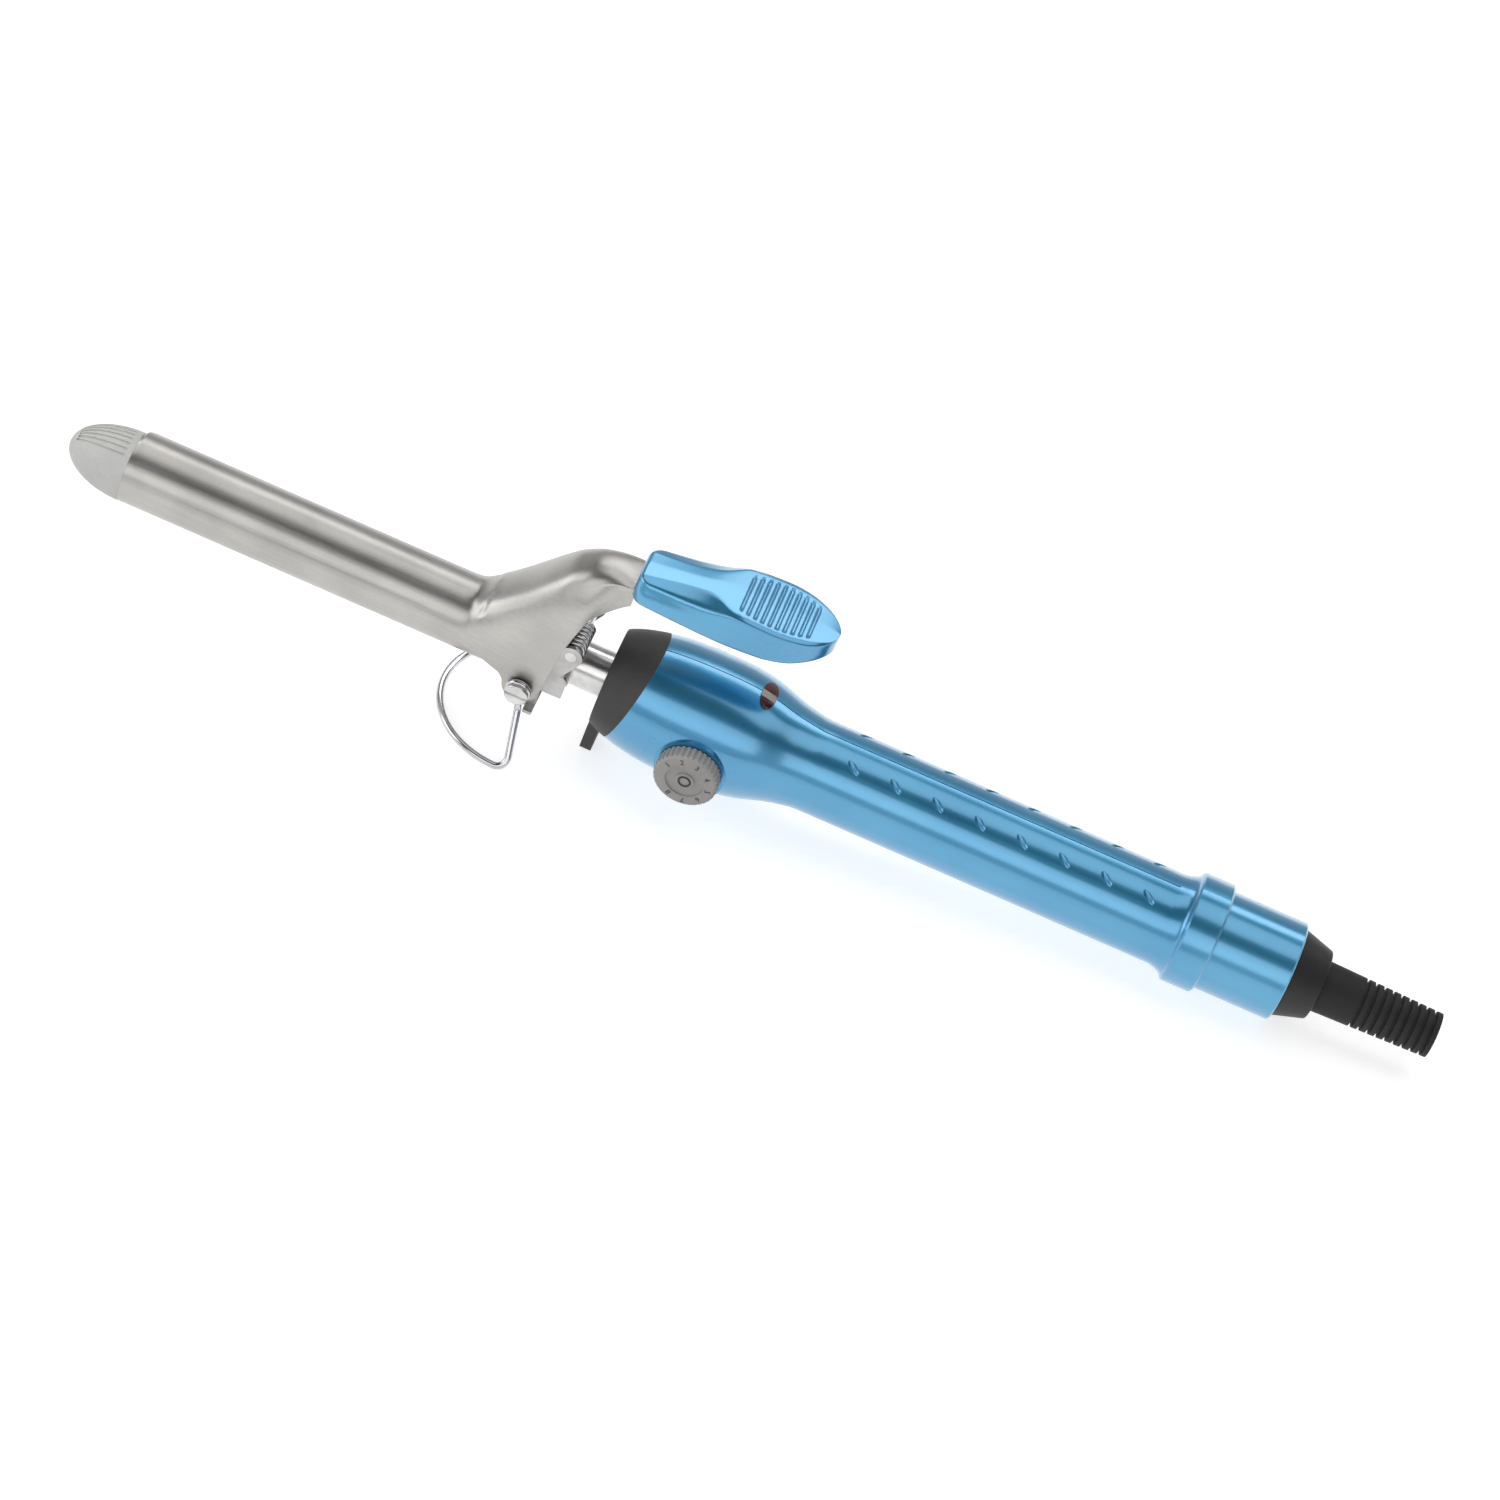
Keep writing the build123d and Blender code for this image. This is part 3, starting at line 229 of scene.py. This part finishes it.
finishOf = {
    "barrel_tube": titanium, "clamp": titanium, "cool_tip": tipPlastic(), "heater_core": ceramic,
    "core_spacers": ceramic, "heater_winding": heaterWire, "barrel_bush": satinSteel,
    "pivot_bracket": satinSteel, "neck_tube": brightSteel, "pivot_screws": brightSteel,
    "spring_pin": brightSteel, "clamp_spring": brightSteel, "shell_screws": brightSteel,
    "thumb_rest_screws": brightSteel, "rheostat_shaft": brightSteel, "rheostat_nut": brightSteel,
    "stand_wire": chrome, "heat_shield": charcoal, "dial_side_shell": bluePaint,
    "plain_side_shell": bluePaint, "end_collar": bluePaint, "thumb_rest": bluePaint,
    "dial_knob": dialGrey, "indicator_lens": redLens(), "indicator_lamp": lampGlass,
    "swivel_cone": blackPlastic, "rheostat_body": blackPlastic, "brush_holder": blackPlastic,
    "swivel_hub": blackPlastic, "filter_capacitor": blackPlastic, "switching_triac": blackPlastic,
    "neck_bush": blackPlastic, "strain_relief": blackRubber, "control_board": boardGreen,
    "board_resistors": resistorBody, "thermal_fuse": resistorBody, "heater_leads": leadSleeve,
    "supply_leads": leadSleeve, "slip_rings": brass, "contact_brushes": brass}
for node, finish in finishOf.items():
    slots = frame["nodes"][node].data.materials
    slots.clear()
    slots.append(finish)
print("finishes set on", len(finishOf), "pieces")


# surfaces: a grid of points is put into a mesh as quads; without bendTo, a finished piece rides on its body
def gridQuads(rows, across, closed):
    place = np.arange(rows * across).reshape(rows, across)
    right = np.roll(place, -1, 1) if closed else place[:, 1:]
    left = place if closed else place[:, :-1]
    return np.stack([left[:-1], left[1:], right[1:], right[:-1]], -1).reshape(-1, 4)


def makePiece(name, points, faces, finish, body, replaced=(), crease=35.0, bendTo=None):
    mesh = bpy.data.meshes.new(name)
    mesh.from_pydata(np.asarray(points).reshape(-1, 3).tolist(), [], [tuple(face) for face in faces])
    mesh.materials.append(finish)
    tidy = bmesh.new()
    tidy.from_mesh(mesh)
    bmesh.ops.remove_doubles(tidy, verts=tidy.verts, dist=samePoint)
    bmesh.ops.recalc_face_normals(tidy, faces=tidy.faces)
    tidy.to_mesh(mesh)
    tidy.free()
    mesh.polygons.foreach_set("use_smooth", np.ones(len(mesh.polygons), bool))
    mesh.set_sharp_from_angle(angle=radians(crease))
    piece = bpy.data.objects.new(name, mesh)
    bpy.context.collection.objects.link(piece)
    if bendTo:
        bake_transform(piece)
    else:
        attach(piece, body)
    if replaced:
        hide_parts(*replaced)
    print(name, "made,", len(mesh.polygons), "faces")
    return piece


# columns of a table read at x: straight between its rows, then averaged under a bell curve of width soften
def along(table, x, soften):
    step, margin, bellReach = 0.1, 20, 4 * soften
    table = np.array(table, float)
    fine = np.arange(table[0, 0] - margin, table[-1, 0] + margin, step)
    reach = np.arange(-bellReach, bellReach + step / 2, step)
    bell = np.exp(-0.5 * (reach / soften) ** 2)
    bell = bell / bell.sum()
    columns = []
    for column in table.T[1:]:
        padded = np.pad(np.interp(fine, table[:, 0], column), len(reach) // 2, "edge")
        softened = np.convolve(padded, bell, "valid")[:len(fine)]
        columns.append(np.interp(x, fine, softened))
    return columns


# clamped cubic B-spline: the weight of each control point at evenly spaced samples
def splineWeights(count, samples):
    knots = np.concatenate([np.zeros(3), np.linspace(0, 1, count - 2), np.ones(3)])
    t = np.linspace(0, 1 - 1e-9, samples)[:, None]  # ends just short of the last knot
    weight = ((knots[:-1] <= t) & (t < knots[1:])).astype(float)
    for degree in (1, 2, 3):
        width = (knots[degree:] - knots[:-degree])[None, :]
        share = np.where(width > 0, (t - knots[None, :-degree]) / np.where(width > 0, width, 1), 0)
        later = np.where(width[:, 1:] > 0, weight[:, 1:], 0)
        weight = share[:, :-1] * weight[:, :-1] + (1 - share[:, 1:]) * later
    return weight


# each row of value read at the places in want, where have climbs along the row
def readRows(want, have, value):
    index = np.clip((have[:, None, :] <= want[:, :, None]).sum(-1) - 1, 0, have.shape[1] - 2)
    low = np.take_along_axis(have, index, 1)
    high = np.take_along_axis(have, index + 1, 1)
    share = np.clip((want - low) / np.maximum(high - low, 1e-9), 0, 1)
    before = np.take_along_axis(value, index, 1)
    after = np.take_along_axis(value, index + 1, 1)
    return before * (1 - share) + after * share


def smoothStep(x, low, high):  # 0 below low, 1 above high, 3tt - 2ttt between
    t = np.clip((x - low) / (high - low), 0, 1)
    return t * t * (3 - 2 * t)


# clamp: one sheet from the spoon over the hood to the strap, and a tongue into the thumb rest
def makeClamp():
    sheet = dict(front=-116.0, rear=19.0, wall=0.8, spoonRadius=10.625, wrap=47.0, corner=4.0,
                 spoonEnd=-35.0, hoodStart=-24.0, hoodFull=-15.5, hoodSoft=1.0, edgeSoft=0.25, crown=0.62,
                 skirt=(-24.0, -0.4), ear=(0.0, -5.6, 5.0), dentX=-16.2, dentDepth=0.35, dentWidth=0.8,
                 dentInner=(2.0, 5.0), dentOuter=(7.6, 9.2), dentFoot=4.0, strapTop=38.4, tongueStart=17.9,
                 tongueEnd=44.0, tongueHalf=5.2, tongueRound=3.0, tongueBlunt=3.4, rimRound=0.16,
                 rimAngle=50.0, rimSteps=2, rows=(14, 60, 260), samples=160, skirtSteps=50, across=52,
                 tongueGrid=(30, 9))
    # x, half width and height of the foot, half width and height of the crease, height of the top
    hood = [(-24, 10.6, 0, 7.8, 7.3, 10.6), (-19.5, 10.75, 0, 8.0, 8.2, 11.2),
            (-14.5, 11.2, 1, 8.4, 11.5, 15.5), (-9, 11.7, 3, 8.9, 16.8, 21.6),
            (-3.5, 11.9, 8, 9.0, 23.2, 28.4), (1.5, 11.9, 14, 8.7, 29.0, 34.2),
            (6.5, 11.95, 17.5, 8.0, 33.3, 37.6), (8.4, 11.95, 19.1, 7.6, 34.6, 38.25),
            (9.8, 10.9, 20.4, 7.2, 35.6, 38.65), (12, 8.7, 24, 6.7, 36.9, 38.9),
            (15, 6.9, 28, 6.2, 37.7, 38.8), (17.7, 6.0, 30, 5.9, 37.9, 38.4), (20, 5.9, 31, 5.9, 37.9, 38.4)]
    # x and height of the sheet's lower edge
    edge = [(-116, 7.25), (-34, 7.25), (-21, 0), (-12, -1.8), (-6.6, -3.6), (-5, -5.6), (5, -5.6), (7, 12.0),
            (8.6, 19.2), (10.4, 25.0), (11.7, 26.2), (13.5, 27.6), (17.4, 30.8), (20, 32.9)]
    radius, corner = sheet["spoonRadius"], sheet["corner"]
    bowRows, spoonRows, hoodRows = sheet["rows"]
    x = np.concatenate([sheet["front"] + corner * (1 - np.cos(np.linspace(0, pi / 2, bowRows))),
                        np.linspace(sheet["front"] + corner + 1, sheet["spoonEnd"], spoonRows),
                        np.linspace(sheet["spoonEnd"] + 1, sheet["rear"], hoodRows)])
    footW, footZ, creaseW, creaseZ, topZ = along(hood, x, sheet["hoodSoft"])
    low = along(edge, x, sheet["edgeSoft"])[0]
    # ear: the edge dips to a circle round the pivot
    earX, earZ, earR = sheet["ear"]
    earFoot = earZ - np.sqrt(np.maximum(earR ** 2 - (x - earX) ** 2, 0))
    low = np.where(np.abs(x - earX) < earR, np.minimum(low, earFoot), low)
    # spoon: a round section, its front corners rounded in plan
    ahead = np.clip(sheet["front"] + corner - x, 0, corner)
    rim = radius * sin(radians(sheet["wrap"])) - corner + np.sqrt(corner ** 2 - ahead ** 2)
    low = np.where(ahead > 0, np.sqrt(radius ** 2 - rim ** 2), low)
    # hood: half a section is a cubic B-spline from the wall's foot over the crease to the top, with a
    # straight skirt below the foot, and the spoon's circle turns into it along the length
    turn = np.linspace(0, pi / 2, sheet["samples"])
    zero = np.zeros_like(x)
    controlY = np.stack([footW, footW, (footW * 2 + creaseW) / 3, creaseW, creaseW,
                         creaseW * sheet["crown"], zero], -1)
    controlZ = np.stack([footZ, footZ * 0.6 + creaseZ * 0.4, footZ * 0.25 + creaseZ * 0.75, creaseZ, creaseZ,
                         topZ, topZ], -1)
    weight = splineWeights(controlY.shape[1], sheet["samples"])
    mixIn = smoothStep(x, sheet["hoodStart"], sheet["hoodFull"])[:, None]
    y = (controlY @ weight.T) * mixIn + radius * np.cos(turn) * (1 - mixIn)
    z = (controlZ @ weight.T) * mixIn + radius * np.sin(turn) * (1 - mixIn)
    skirt = np.linspace(*sheet["skirt"], sheet["skirtSteps"])
    y = np.concatenate([np.repeat(y[:, :1], len(skirt), 1), y], 1)
    z = np.concatenate([z[:, :1] + skirt, z], 1)
    # the section is cut at the lower edge and shared out evenly by length
    length = np.concatenate([zero[:, None], np.cumsum(np.hypot(np.diff(y), np.diff(z)), 1)], 1)
    start = readRows(low[:, None], z, length)
    want = start + (length[:, -1:] - start) * np.linspace(0, 1, sheet["across"])
    halfY = readRows(want, length, y)
    halfZ = readRows(want, length, z)
    # dent: a short pinch across each shoulder where the hood leaves the spoon
    shoulder = smoothStep(halfY, *sheet["dentInner"]) * (1 - smoothStep(halfY, *sheet["dentOuter"]))
    shoulder = shoulder * (halfZ > sheet["dentFoot"])
    away = (x[:, None] - sheet["dentX"]) / sheet["dentWidth"]
    pinch = sheet["dentDepth"] * np.exp(-away ** 2) * shoulder
    lean = np.arctan2(halfZ, halfY)
    halfY = halfY - pinch * np.cos(lean)
    halfZ = halfZ - pinch * np.sin(lean)
    fullY = np.concatenate([-halfY, halfY[:, -2::-1]], 1)
    fullZ = np.concatenate([halfZ, halfZ[:, -2::-1]], 1)
    points = toFrame(x[:, None], fullY, fullZ).reshape(-1, 3)
    faces = gridQuads(*fullY.shape, False)
    # tongue: a flat plate, its end rounded
    tongueRows, tongueAcross = sheet["tongueGrid"]
    tongueX = np.linspace(sheet["tongueStart"], sheet["tongueEnd"], tongueRows)[:, None]
    nearEnd = np.clip(tongueX - sheet["tongueEnd"] + sheet["tongueRound"], 0, sheet["tongueRound"])
    half = sheet["tongueHalf"] * np.sqrt(1 - (nearEnd / sheet["tongueBlunt"]) ** 2)
    tongue = toFrame(tongueX, half * np.linspace(-1, 1, tongueAcross), sheet["strapTop"]).reshape(-1, 3)
    faces = np.concatenate([faces, gridQuads(tongueRows, tongueAcross, False) + len(points)])
    points = np.concatenate([points, tongue])
    piece = makePiece("clampSheet", points, faces, titanium, "clamp", ["clamp"])
    wall = piece.modifiers.new("wall", "SOLIDIFY")
    wall.thickness = sheet["wall"] * mm
    wall.offset = -1
    wall.use_even_offset = True
    rimRound = piece.modifiers.new("rimRound", "BEVEL")
    rimRound.width = sheet["rimRound"] * mm
    rimRound.segments = sheet["rimSteps"]
    rimRound.limit_method = "ANGLE"
    rimRound.angle_limit = radians(sheet["rimAngle"])
    rimRound.harden_normals = True


# thumb rest: half a section is a cubic B-spline from the underside up the side to the ridge, over the
# scoop to the spine or the ribbed pad, carried along x and mirrored
def makeThumbRest():
    rest = dict(front=18.0, corner=4.0, lip=1.4, oval=54.5, ovalLength=17.0, soften=1.1, softShelf=4.5,
                flat=0.72, slotHalf=5.3, slotEnd=44.0, slotStep=0.05, slotTop=38.4, ribs=10, ribStart=44.6,
                ribPitch=2.05, ribDepth=0.42, ribEase=0.3, padMiddle=54.0, padReach=15.0, padHalf=8.6,
                padFade=0.9, padSkin=(0.9, 0.3), crease=60.0, rows=(26, 72, 100, 100), samples=72)
    # x, half width at the bottom, at the ridge and at the spine, then heights of bottom, ridge and top
    table = [(18, 9.0, 7.2, 4.6, 36, 42.5, 43.0), (23, 9.2, 7.6, 4.3, 36, 42.9, 43.8),
             (31, 9.8, 8.5, 3.9, 36, 43.6, 45.3), (37, 10.2, 9.3, 4.4, 36, 44.4, 46.7),
             (40, 10.3, 9.7, 6.0, 36, 45.1, 47.1), (43, 10.45, 10.1, 8.4, 36, 46.1, 47.4),
             (48, 10.6, 10.5, 9.6, 36.3, 46.8, 47.45), (54.5, 10.75, 10.75, 10, 37, 46.9, 47.45),
             (62, 10.75, 10.75, 10, 38.4, 46.8, 47.4), (68, 10.75, 10.75, 9.9, 40.5, 46.5, 47.1),
             (71.5, 10.75, 10.75, 9.9, 41.8, 46.0, 46.6)]
    bowRows, foreRows, padRows, tailRows = rest["rows"]
    bowEnd = rest["front"] + rest["corner"]
    x = np.concatenate([rest["front"] + rest["corner"] * (1 - np.cos(np.linspace(0, pi / 2, bowRows))),
                        np.linspace(bowEnd + 0.3, rest["slotEnd"], foreRows),
                        [rest["slotEnd"] + rest["slotStep"]],
                        np.linspace(rest["slotEnd"] + 0.2, rest["oval"] - 0.1, padRows),
                        rest["oval"] + rest["ovalLength"] * np.sin(np.linspace(0, pi / 2, tailRows))])
    bottomW, ridgeW, spineW, bottomZ, ridgeZ, topZ = along(table, x, rest["soften"])
    # in plan the front corners are quarter circles and the rear is half an ellipse
    ahead = np.clip((bowEnd - x) / rest["corner"], 0, 1)
    cornerIn = rest["corner"] * (1 - np.sqrt(1 - ahead ** 2))
    behind = np.clip(x - rest["oval"], 0, None) / rest["ovalLength"]
    shrink = np.sqrt(np.maximum(1 - behind ** 2, 1e-6))
    bottomW = (bottomW - cornerIn) * shrink
    ridgeW = (ridgeW - cornerIn) * shrink
    spineW = np.minimum(spineW * shrink, ridgeW * 0.85)
    # the front lip is rounded over
    near = np.clip((rest["front"] + rest["lip"] - x) / rest["lip"], 0, 1)
    drop = rest["lip"] * (1 - np.sqrt(1 - near ** 2))
    ridgeZ = ridgeZ - drop
    topZ = topZ - drop
    # the ridge is a soft shoulder ahead of the pad, where the spine stands in from it by a shelf, and a
    # crisp edge round the pad
    rise = topZ - ridgeZ
    shelf = ridgeW - spineW
    soft = np.clip(shelf / rest["softShelf"], 0, 1)
    flatW = bottomW * rest["flat"]
    zero = np.zeros_like(x)
    controlY = np.stack([flatW, bottomW * 0.95, bottomW, bottomW, ridgeW + 0.3 * (bottomW - ridgeW), ridgeW,
                         ridgeW - 0.2 * shelf, spineW + 0.5 * shelf, spineW + 0.1 * shelf, spineW,
                         spineW * 0.7, zero], -1)
    controlZ = np.stack([bottomZ, bottomZ, bottomZ + 0.8, (bottomZ + ridgeZ) / 2, ridgeZ - 1.0 - 0.8 * soft,
                         ridgeZ - 0.15 - 0.3 * soft, ridgeZ + 0.2 * rise, ridgeZ + 0.5 * rise,
                         ridgeZ + 0.9 * rise, topZ - 0.03 * rise, topZ, topZ + 0.12], -1)
    weight = splineWeights(controlY.shape[1], rest["samples"])
    sideY = controlY @ weight.T
    sideZ = controlZ @ weight.T
    # ribs: shallow grooves across the pad, a squared wave along x that fades towards the pad's edge
    phase = (x - rest["ribStart"]) / rest["ribPitch"]
    groove = 0.5 - 0.5 * np.cos(2 * pi * phase)
    begun = smoothStep(phase, 0, rest["ribEase"])
    ended = smoothStep(phase, rest["ribs"] - rest["ribEase"], rest["ribs"])
    ribs = (groove ** 2 * (begun * (1 - ended)))[:, None]
    padAway = (x - rest["padMiddle"]) / rest["padReach"]
    padHalf = (rest["padHalf"] * np.sqrt(np.clip(1 - padAway ** 2, 0, 1)))[:, None]
    fade = 1 - smoothStep(sideY, padHalf - rest["padFade"], padHalf)
    skinLow, skinHigh = rest["padSkin"]
    onTop = smoothStep(sideZ, topZ[:, None] - skinLow, topZ[:, None] - skinHigh)
    sideZ = sideZ - rest["ribDepth"] * ribs * fade * onTop
    # underside: a slot for the tongue, open at the front
    slotZ = np.where(x <= rest["slotEnd"], rest["slotTop"], bottomZ)
    slotW = np.minimum(rest["slotHalf"], bottomW * 0.6)
    underY = np.stack([zero, slotW * 0.5, slotW, slotW, slotW, slotW + 0.4 * (flatW - slotW)], -1)
    underZ = np.stack([slotZ, slotZ, slotZ, (slotZ + bottomZ) / 2, bottomZ, bottomZ], -1)
    halfY = np.concatenate([underY, sideY], 1)
    halfZ = np.concatenate([underZ, sideZ], 1)
    loopY = np.concatenate([halfY, -halfY[:, -2:0:-1]], 1)
    loopZ = np.concatenate([halfZ, halfZ[:, -2:0:-1]], 1)
    points = toFrame(x[:, None], loopY, loopZ).reshape(-1, 3)
    around = loopY.shape[1]
    faces = gridQuads(len(x), around, True).tolist() + [list(range(around))]
    makePiece("thumbRest", points, faces, bluePaint, "clamp", ["thumb_rest"], rest["crease"])


# spring: a wire circle carried down the lever leg, round a helix and out along the fore leg
def makeSpring():
    coil = dict(middle=(9.6, 11.0), radius=2.6, wire=0.5, pitch=1.5, turns=7, side=2.2, leverLeg=22.4,
                foreLeg=10.0, foreDip=22.0, legGap=0.4, bendStart=14.5, turnSteps=40, leverSteps=40,
                foreSteps=12, around=12)
    middleX, middleZ = coil["middle"]
    around = coil["around"]
    rise = coil["pitch"] / (2 * pi)
    first = pi
    last = radians(90 + coil["foreDip"] + 360 * coil["turns"])
    wound = np.linspace(first, last, coil["turnSteps"] * coil["turns"])
    lever = np.linspace(-coil["leverLeg"], -coil["legGap"], coil["leverSteps"])
    fore = np.linspace(coil["legGap"], coil["foreLeg"], coil["foreSteps"])
    turn = np.concatenate([np.full_like(lever, first), wound, np.full_like(fore, last)])
    out = np.concatenate([lever, np.zeros_like(wound), fore])
    circleX = coil["radius"] * np.cos(turn)
    circleZ = coil["radius"] * np.sin(turn)
    heading = np.stack([-circleZ, np.full_like(turn, -rise), circleX], -1)
    heading /= np.linalg.norm(heading, axis=1, keepdims=True)
    path = np.stack([middleX + circleX, coil["side"] - rise * (turn - first), middleZ + circleZ], -1)
    path = path + heading * out[:, None]
    across = np.cross(heading, (0.0, 1.0, 0.0))
    across /= np.linalg.norm(across, axis=1, keepdims=True)
    over = np.cross(heading, across)
    bend = np.linspace(0, 2 * pi, around, endpoint=False)[None, :, None]
    tube = path[:, None] + coil["wire"] * (np.cos(bend) * across[:, None] + np.sin(bend) * over[:, None])
    points = toFrame(*np.moveaxis(tube, -1, 0)).reshape(-1, 3)
    faces = gridQuads(len(path), around, True).tolist()
    faces += [list(range(around)), list(range(len(points) - around, len(points)))]
    low, high = toFrame(path[0, 0], path[0, 1], [coil["bendStart"], path[0, 2]])
    makePiece("clampSpring", points, faces, brightSteel, "handle", ["clamp_spring"],
              bendTo=("clamp", low, high))


# dial marks: a small ring on the button and plain numbers round the rim, raised from the dial's face
def makeDialMarks():
    marks = dict(centre=(49.6, -2.5), face=-22.4, ring=1.55, wire=0.3, ringGrid=(48, 9), radius=6.5,
                 size=2.3, proud=0.08, curveSteps=3, labels="12345678", first=150.0, step=-38.0)
    centreX, centreZ = marks["centre"]
    # ring: half of a torus, a circle swept round the dial's axis
    sides, bends = marks["ringGrid"]
    turn = np.linspace(0, 2 * pi, sides, endpoint=False)[:, None]
    bend = np.linspace(0, pi, bends)
    reach = marks["ring"] + marks["wire"] * np.cos(bend)
    depth = marks["face"] - marks["wire"] * np.sin(bend)
    ring = toFrame(centreX + reach * np.cos(turn), depth, centreZ + reach * np.sin(turn))
    points = [ring.reshape(-1, 3)]
    faces = gridQuads(bends, sides, True)
    faces = (faces % sides * bends + faces // sides).tolist()
    # numbers: each is laid flat with its head away from the dial's middle
    for index, label in enumerate(marks["labels"]):
        curve = bpy.data.curves.new("digit", "FONT")
        curve.body, curve.size, curve.extrude = label, marks["size"], marks["proud"]
        curve.align_x, curve.align_y, curve.resolution_u = "CENTER", "CENTER", marks["curveSteps"]
        holder = bpy.data.objects.new("digit", curve)
        shape = bpy.data.meshes.new_from_object(holder)
        flat = np.empty(len(shape.vertices) * 3, np.float32)
        shape.vertices.foreach_get("co", flat)
        flat = flat.reshape(-1, 3).astype(float)
        lean = radians(marks["first"] + marks["step"] * index)
        outX, outZ = cos(lean), sin(lean)
        x = centreX + flat[:, 0] * outZ + (flat[:, 1] + marks["radius"]) * outX
        z = centreZ - flat[:, 0] * outX + (flat[:, 1] + marks["radius"]) * outZ
        start = sum(map(len, points))
        faces += [[start + corner for corner in face.vertices] for face in shape.polygons]
        points.append(toFrame(x, marks["face"] - flat[:, 2], z))
        bpy.data.objects.remove(holder)
        bpy.data.curves.remove(curve)
        bpy.data.meshes.remove(shape)
    makePiece("dialMarks", np.concatenate(points), faces, charcoal, "dial")


makeClamp()
makeThumbRest()
makeSpring()
makeDialMarks()


# camera: looks across the iron from above its side, rolled so that the iron lies aslant in the picture
def makeCamera():
    view = dict(elevation=45.0, roll=23.6, distance=1300.0, width=394.7, middleX=62.0, middleRise=-3.2,
                sensor=36)
    tilt = radians(view["elevation"])
    roll = radians(view["roll"])
    toCamera = Vector((0, -cos(tilt), sin(tilt)))
    rise = Vector((0, sin(tilt), cos(tilt)))
    lengthways = Vector((1, 0, 0))
    right = lengthways * cos(roll) + rise * sin(roll)
    up = rise * cos(roll) - lengthways * sin(roll)
    target = Vector(toFrame(view["middleX"], 0, 0)) + rise * (view["middleRise"] * mm)
    camera = bpy.data.cameras.new("camera")
    camera.sensor_width = view["sensor"]
    camera.lens = view["sensor"] * view["distance"] / view["width"]
    holder = bpy.data.objects.new("camera", camera)
    bpy.context.collection.objects.link(holder)
    pose = Matrix((right, up, toCamera)).transposed().to_4x4()
    pose.translation = target + toCamera * (view["distance"] * mm)
    holder.matrix_world = pose
    bpy.context.scene.camera = holder


# floor: a pale plane that touches the stand's foot and the rear of the grip's band
def makeFloor():
    floor = dict(reach=4.0, gap=0.0001, colour=(0.7, 0.7, 0.7), rough=0.9, gloss=0.1, glow=0.67,
                 bandRadius=15.4, bandRear=193.2)
    bandFoot = toFrame(floor["bandRear"], 0, -floor["bandRadius"])
    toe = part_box("stand_wire")[0]
    slope = (bandFoot[2] - toe[2]) / (bandFoot[0] - toe[0])
    x = np.array([-1, 1, 1, -1]) * floor["reach"]
    y = np.array([-1, -1, 1, 1]) * floor["reach"]
    z = toe[2] + (x - toe[0]) * slope - floor["gap"]
    mesh = bpy.data.meshes.new("floor")
    mesh.from_pydata(np.stack([x, y, z], -1).tolist(), [], [(0, 1, 2, 3)])
    plane = bpy.data.objects.new("floor", mesh)
    bpy.context.collection.objects.link(plane)
    # the paper is seen as white by the camera, in mirrors and through glass, and lights nothing itself
    sh = Shader("floorPaper")
    rays = ("Is Camera Ray", "Is Glossy Ray", "Is Transmission Ray")
    seen = sum(sh.node("ShaderNodeLightPath", out=ray) for ray in rays)
    sh.set(Base_Color=floor["colour"], Roughness=floor["rough"], Specular_IOR_Level=floor["gloss"],
           Emission_Color=sh.mix(seen, (0, 0, 0), (1, 1, 1)), Emission_Strength=floor["glow"])
    mesh.materials.append(sh.material)


# lamps: soft boxes that face a point on the iron's axis, placed from it in metres
def makeLamps():
    lamps = {"front": dict(place=(-0.15, -1.28, 0.79), size=(2.2, 0.86), watts=8.3),
             "top": dict(place=(0.05, 0.125, 1.1), size=(1.6, 0.66), watts=4.1),
             "back": dict(place=(0.05, 0.75, 0.82), size=(1.6, 0.3), watts=4.0),
             "left": dict(place=(-1.0, -0.2, 0.35), size=(0.6, 0.6), watts=2.2)}
    aimX = 62
    aim = Vector(toFrame(aimX, 0, 0))
    for name, box in lamps.items():
        lamp = bpy.data.lights.new(name, "AREA")
        lamp.shape = "RECTANGLE"
        lamp.size, lamp.size_y = box["size"]
        lamp.energy = box["watts"]
        holder = bpy.data.objects.new(name, lamp)
        bpy.context.collection.objects.link(holder)
        holder.location = aim + Vector(box["place"])
        holder.rotation_euler = (aim - holder.location).to_track_quat("-Z", "Y").to_euler()


# sky: pale near the horizon and dark overhead, so that the lamps show in the metal
def makeSky():
    sky = dict(low=(0.55, 0.55, 0.56), high=(0.03, 0.03, 0.032), fade=(0.15, 0.75), strength=0.88)
    world = bpy.context.scene.world or bpy.data.worlds.new("world")
    bpy.context.scene.world = world
    sh = Shader("sky", world)
    height = sh.node("ShaderNodeSeparateXYZ", None, {0: sh.node("ShaderNodeTexCoord")}, out="Z")
    sh.set(Color=sh.mix(height.smooth(*sky["fade"]), sky["low"], sky["high"]), Strength=sky["strength"])


makeCamera()
makeFloor()
makeLamps()
makeSky()
bpy.context.scene.view_settings.view_transform = "Standard"
print("camera, floor, lamps and sky set")
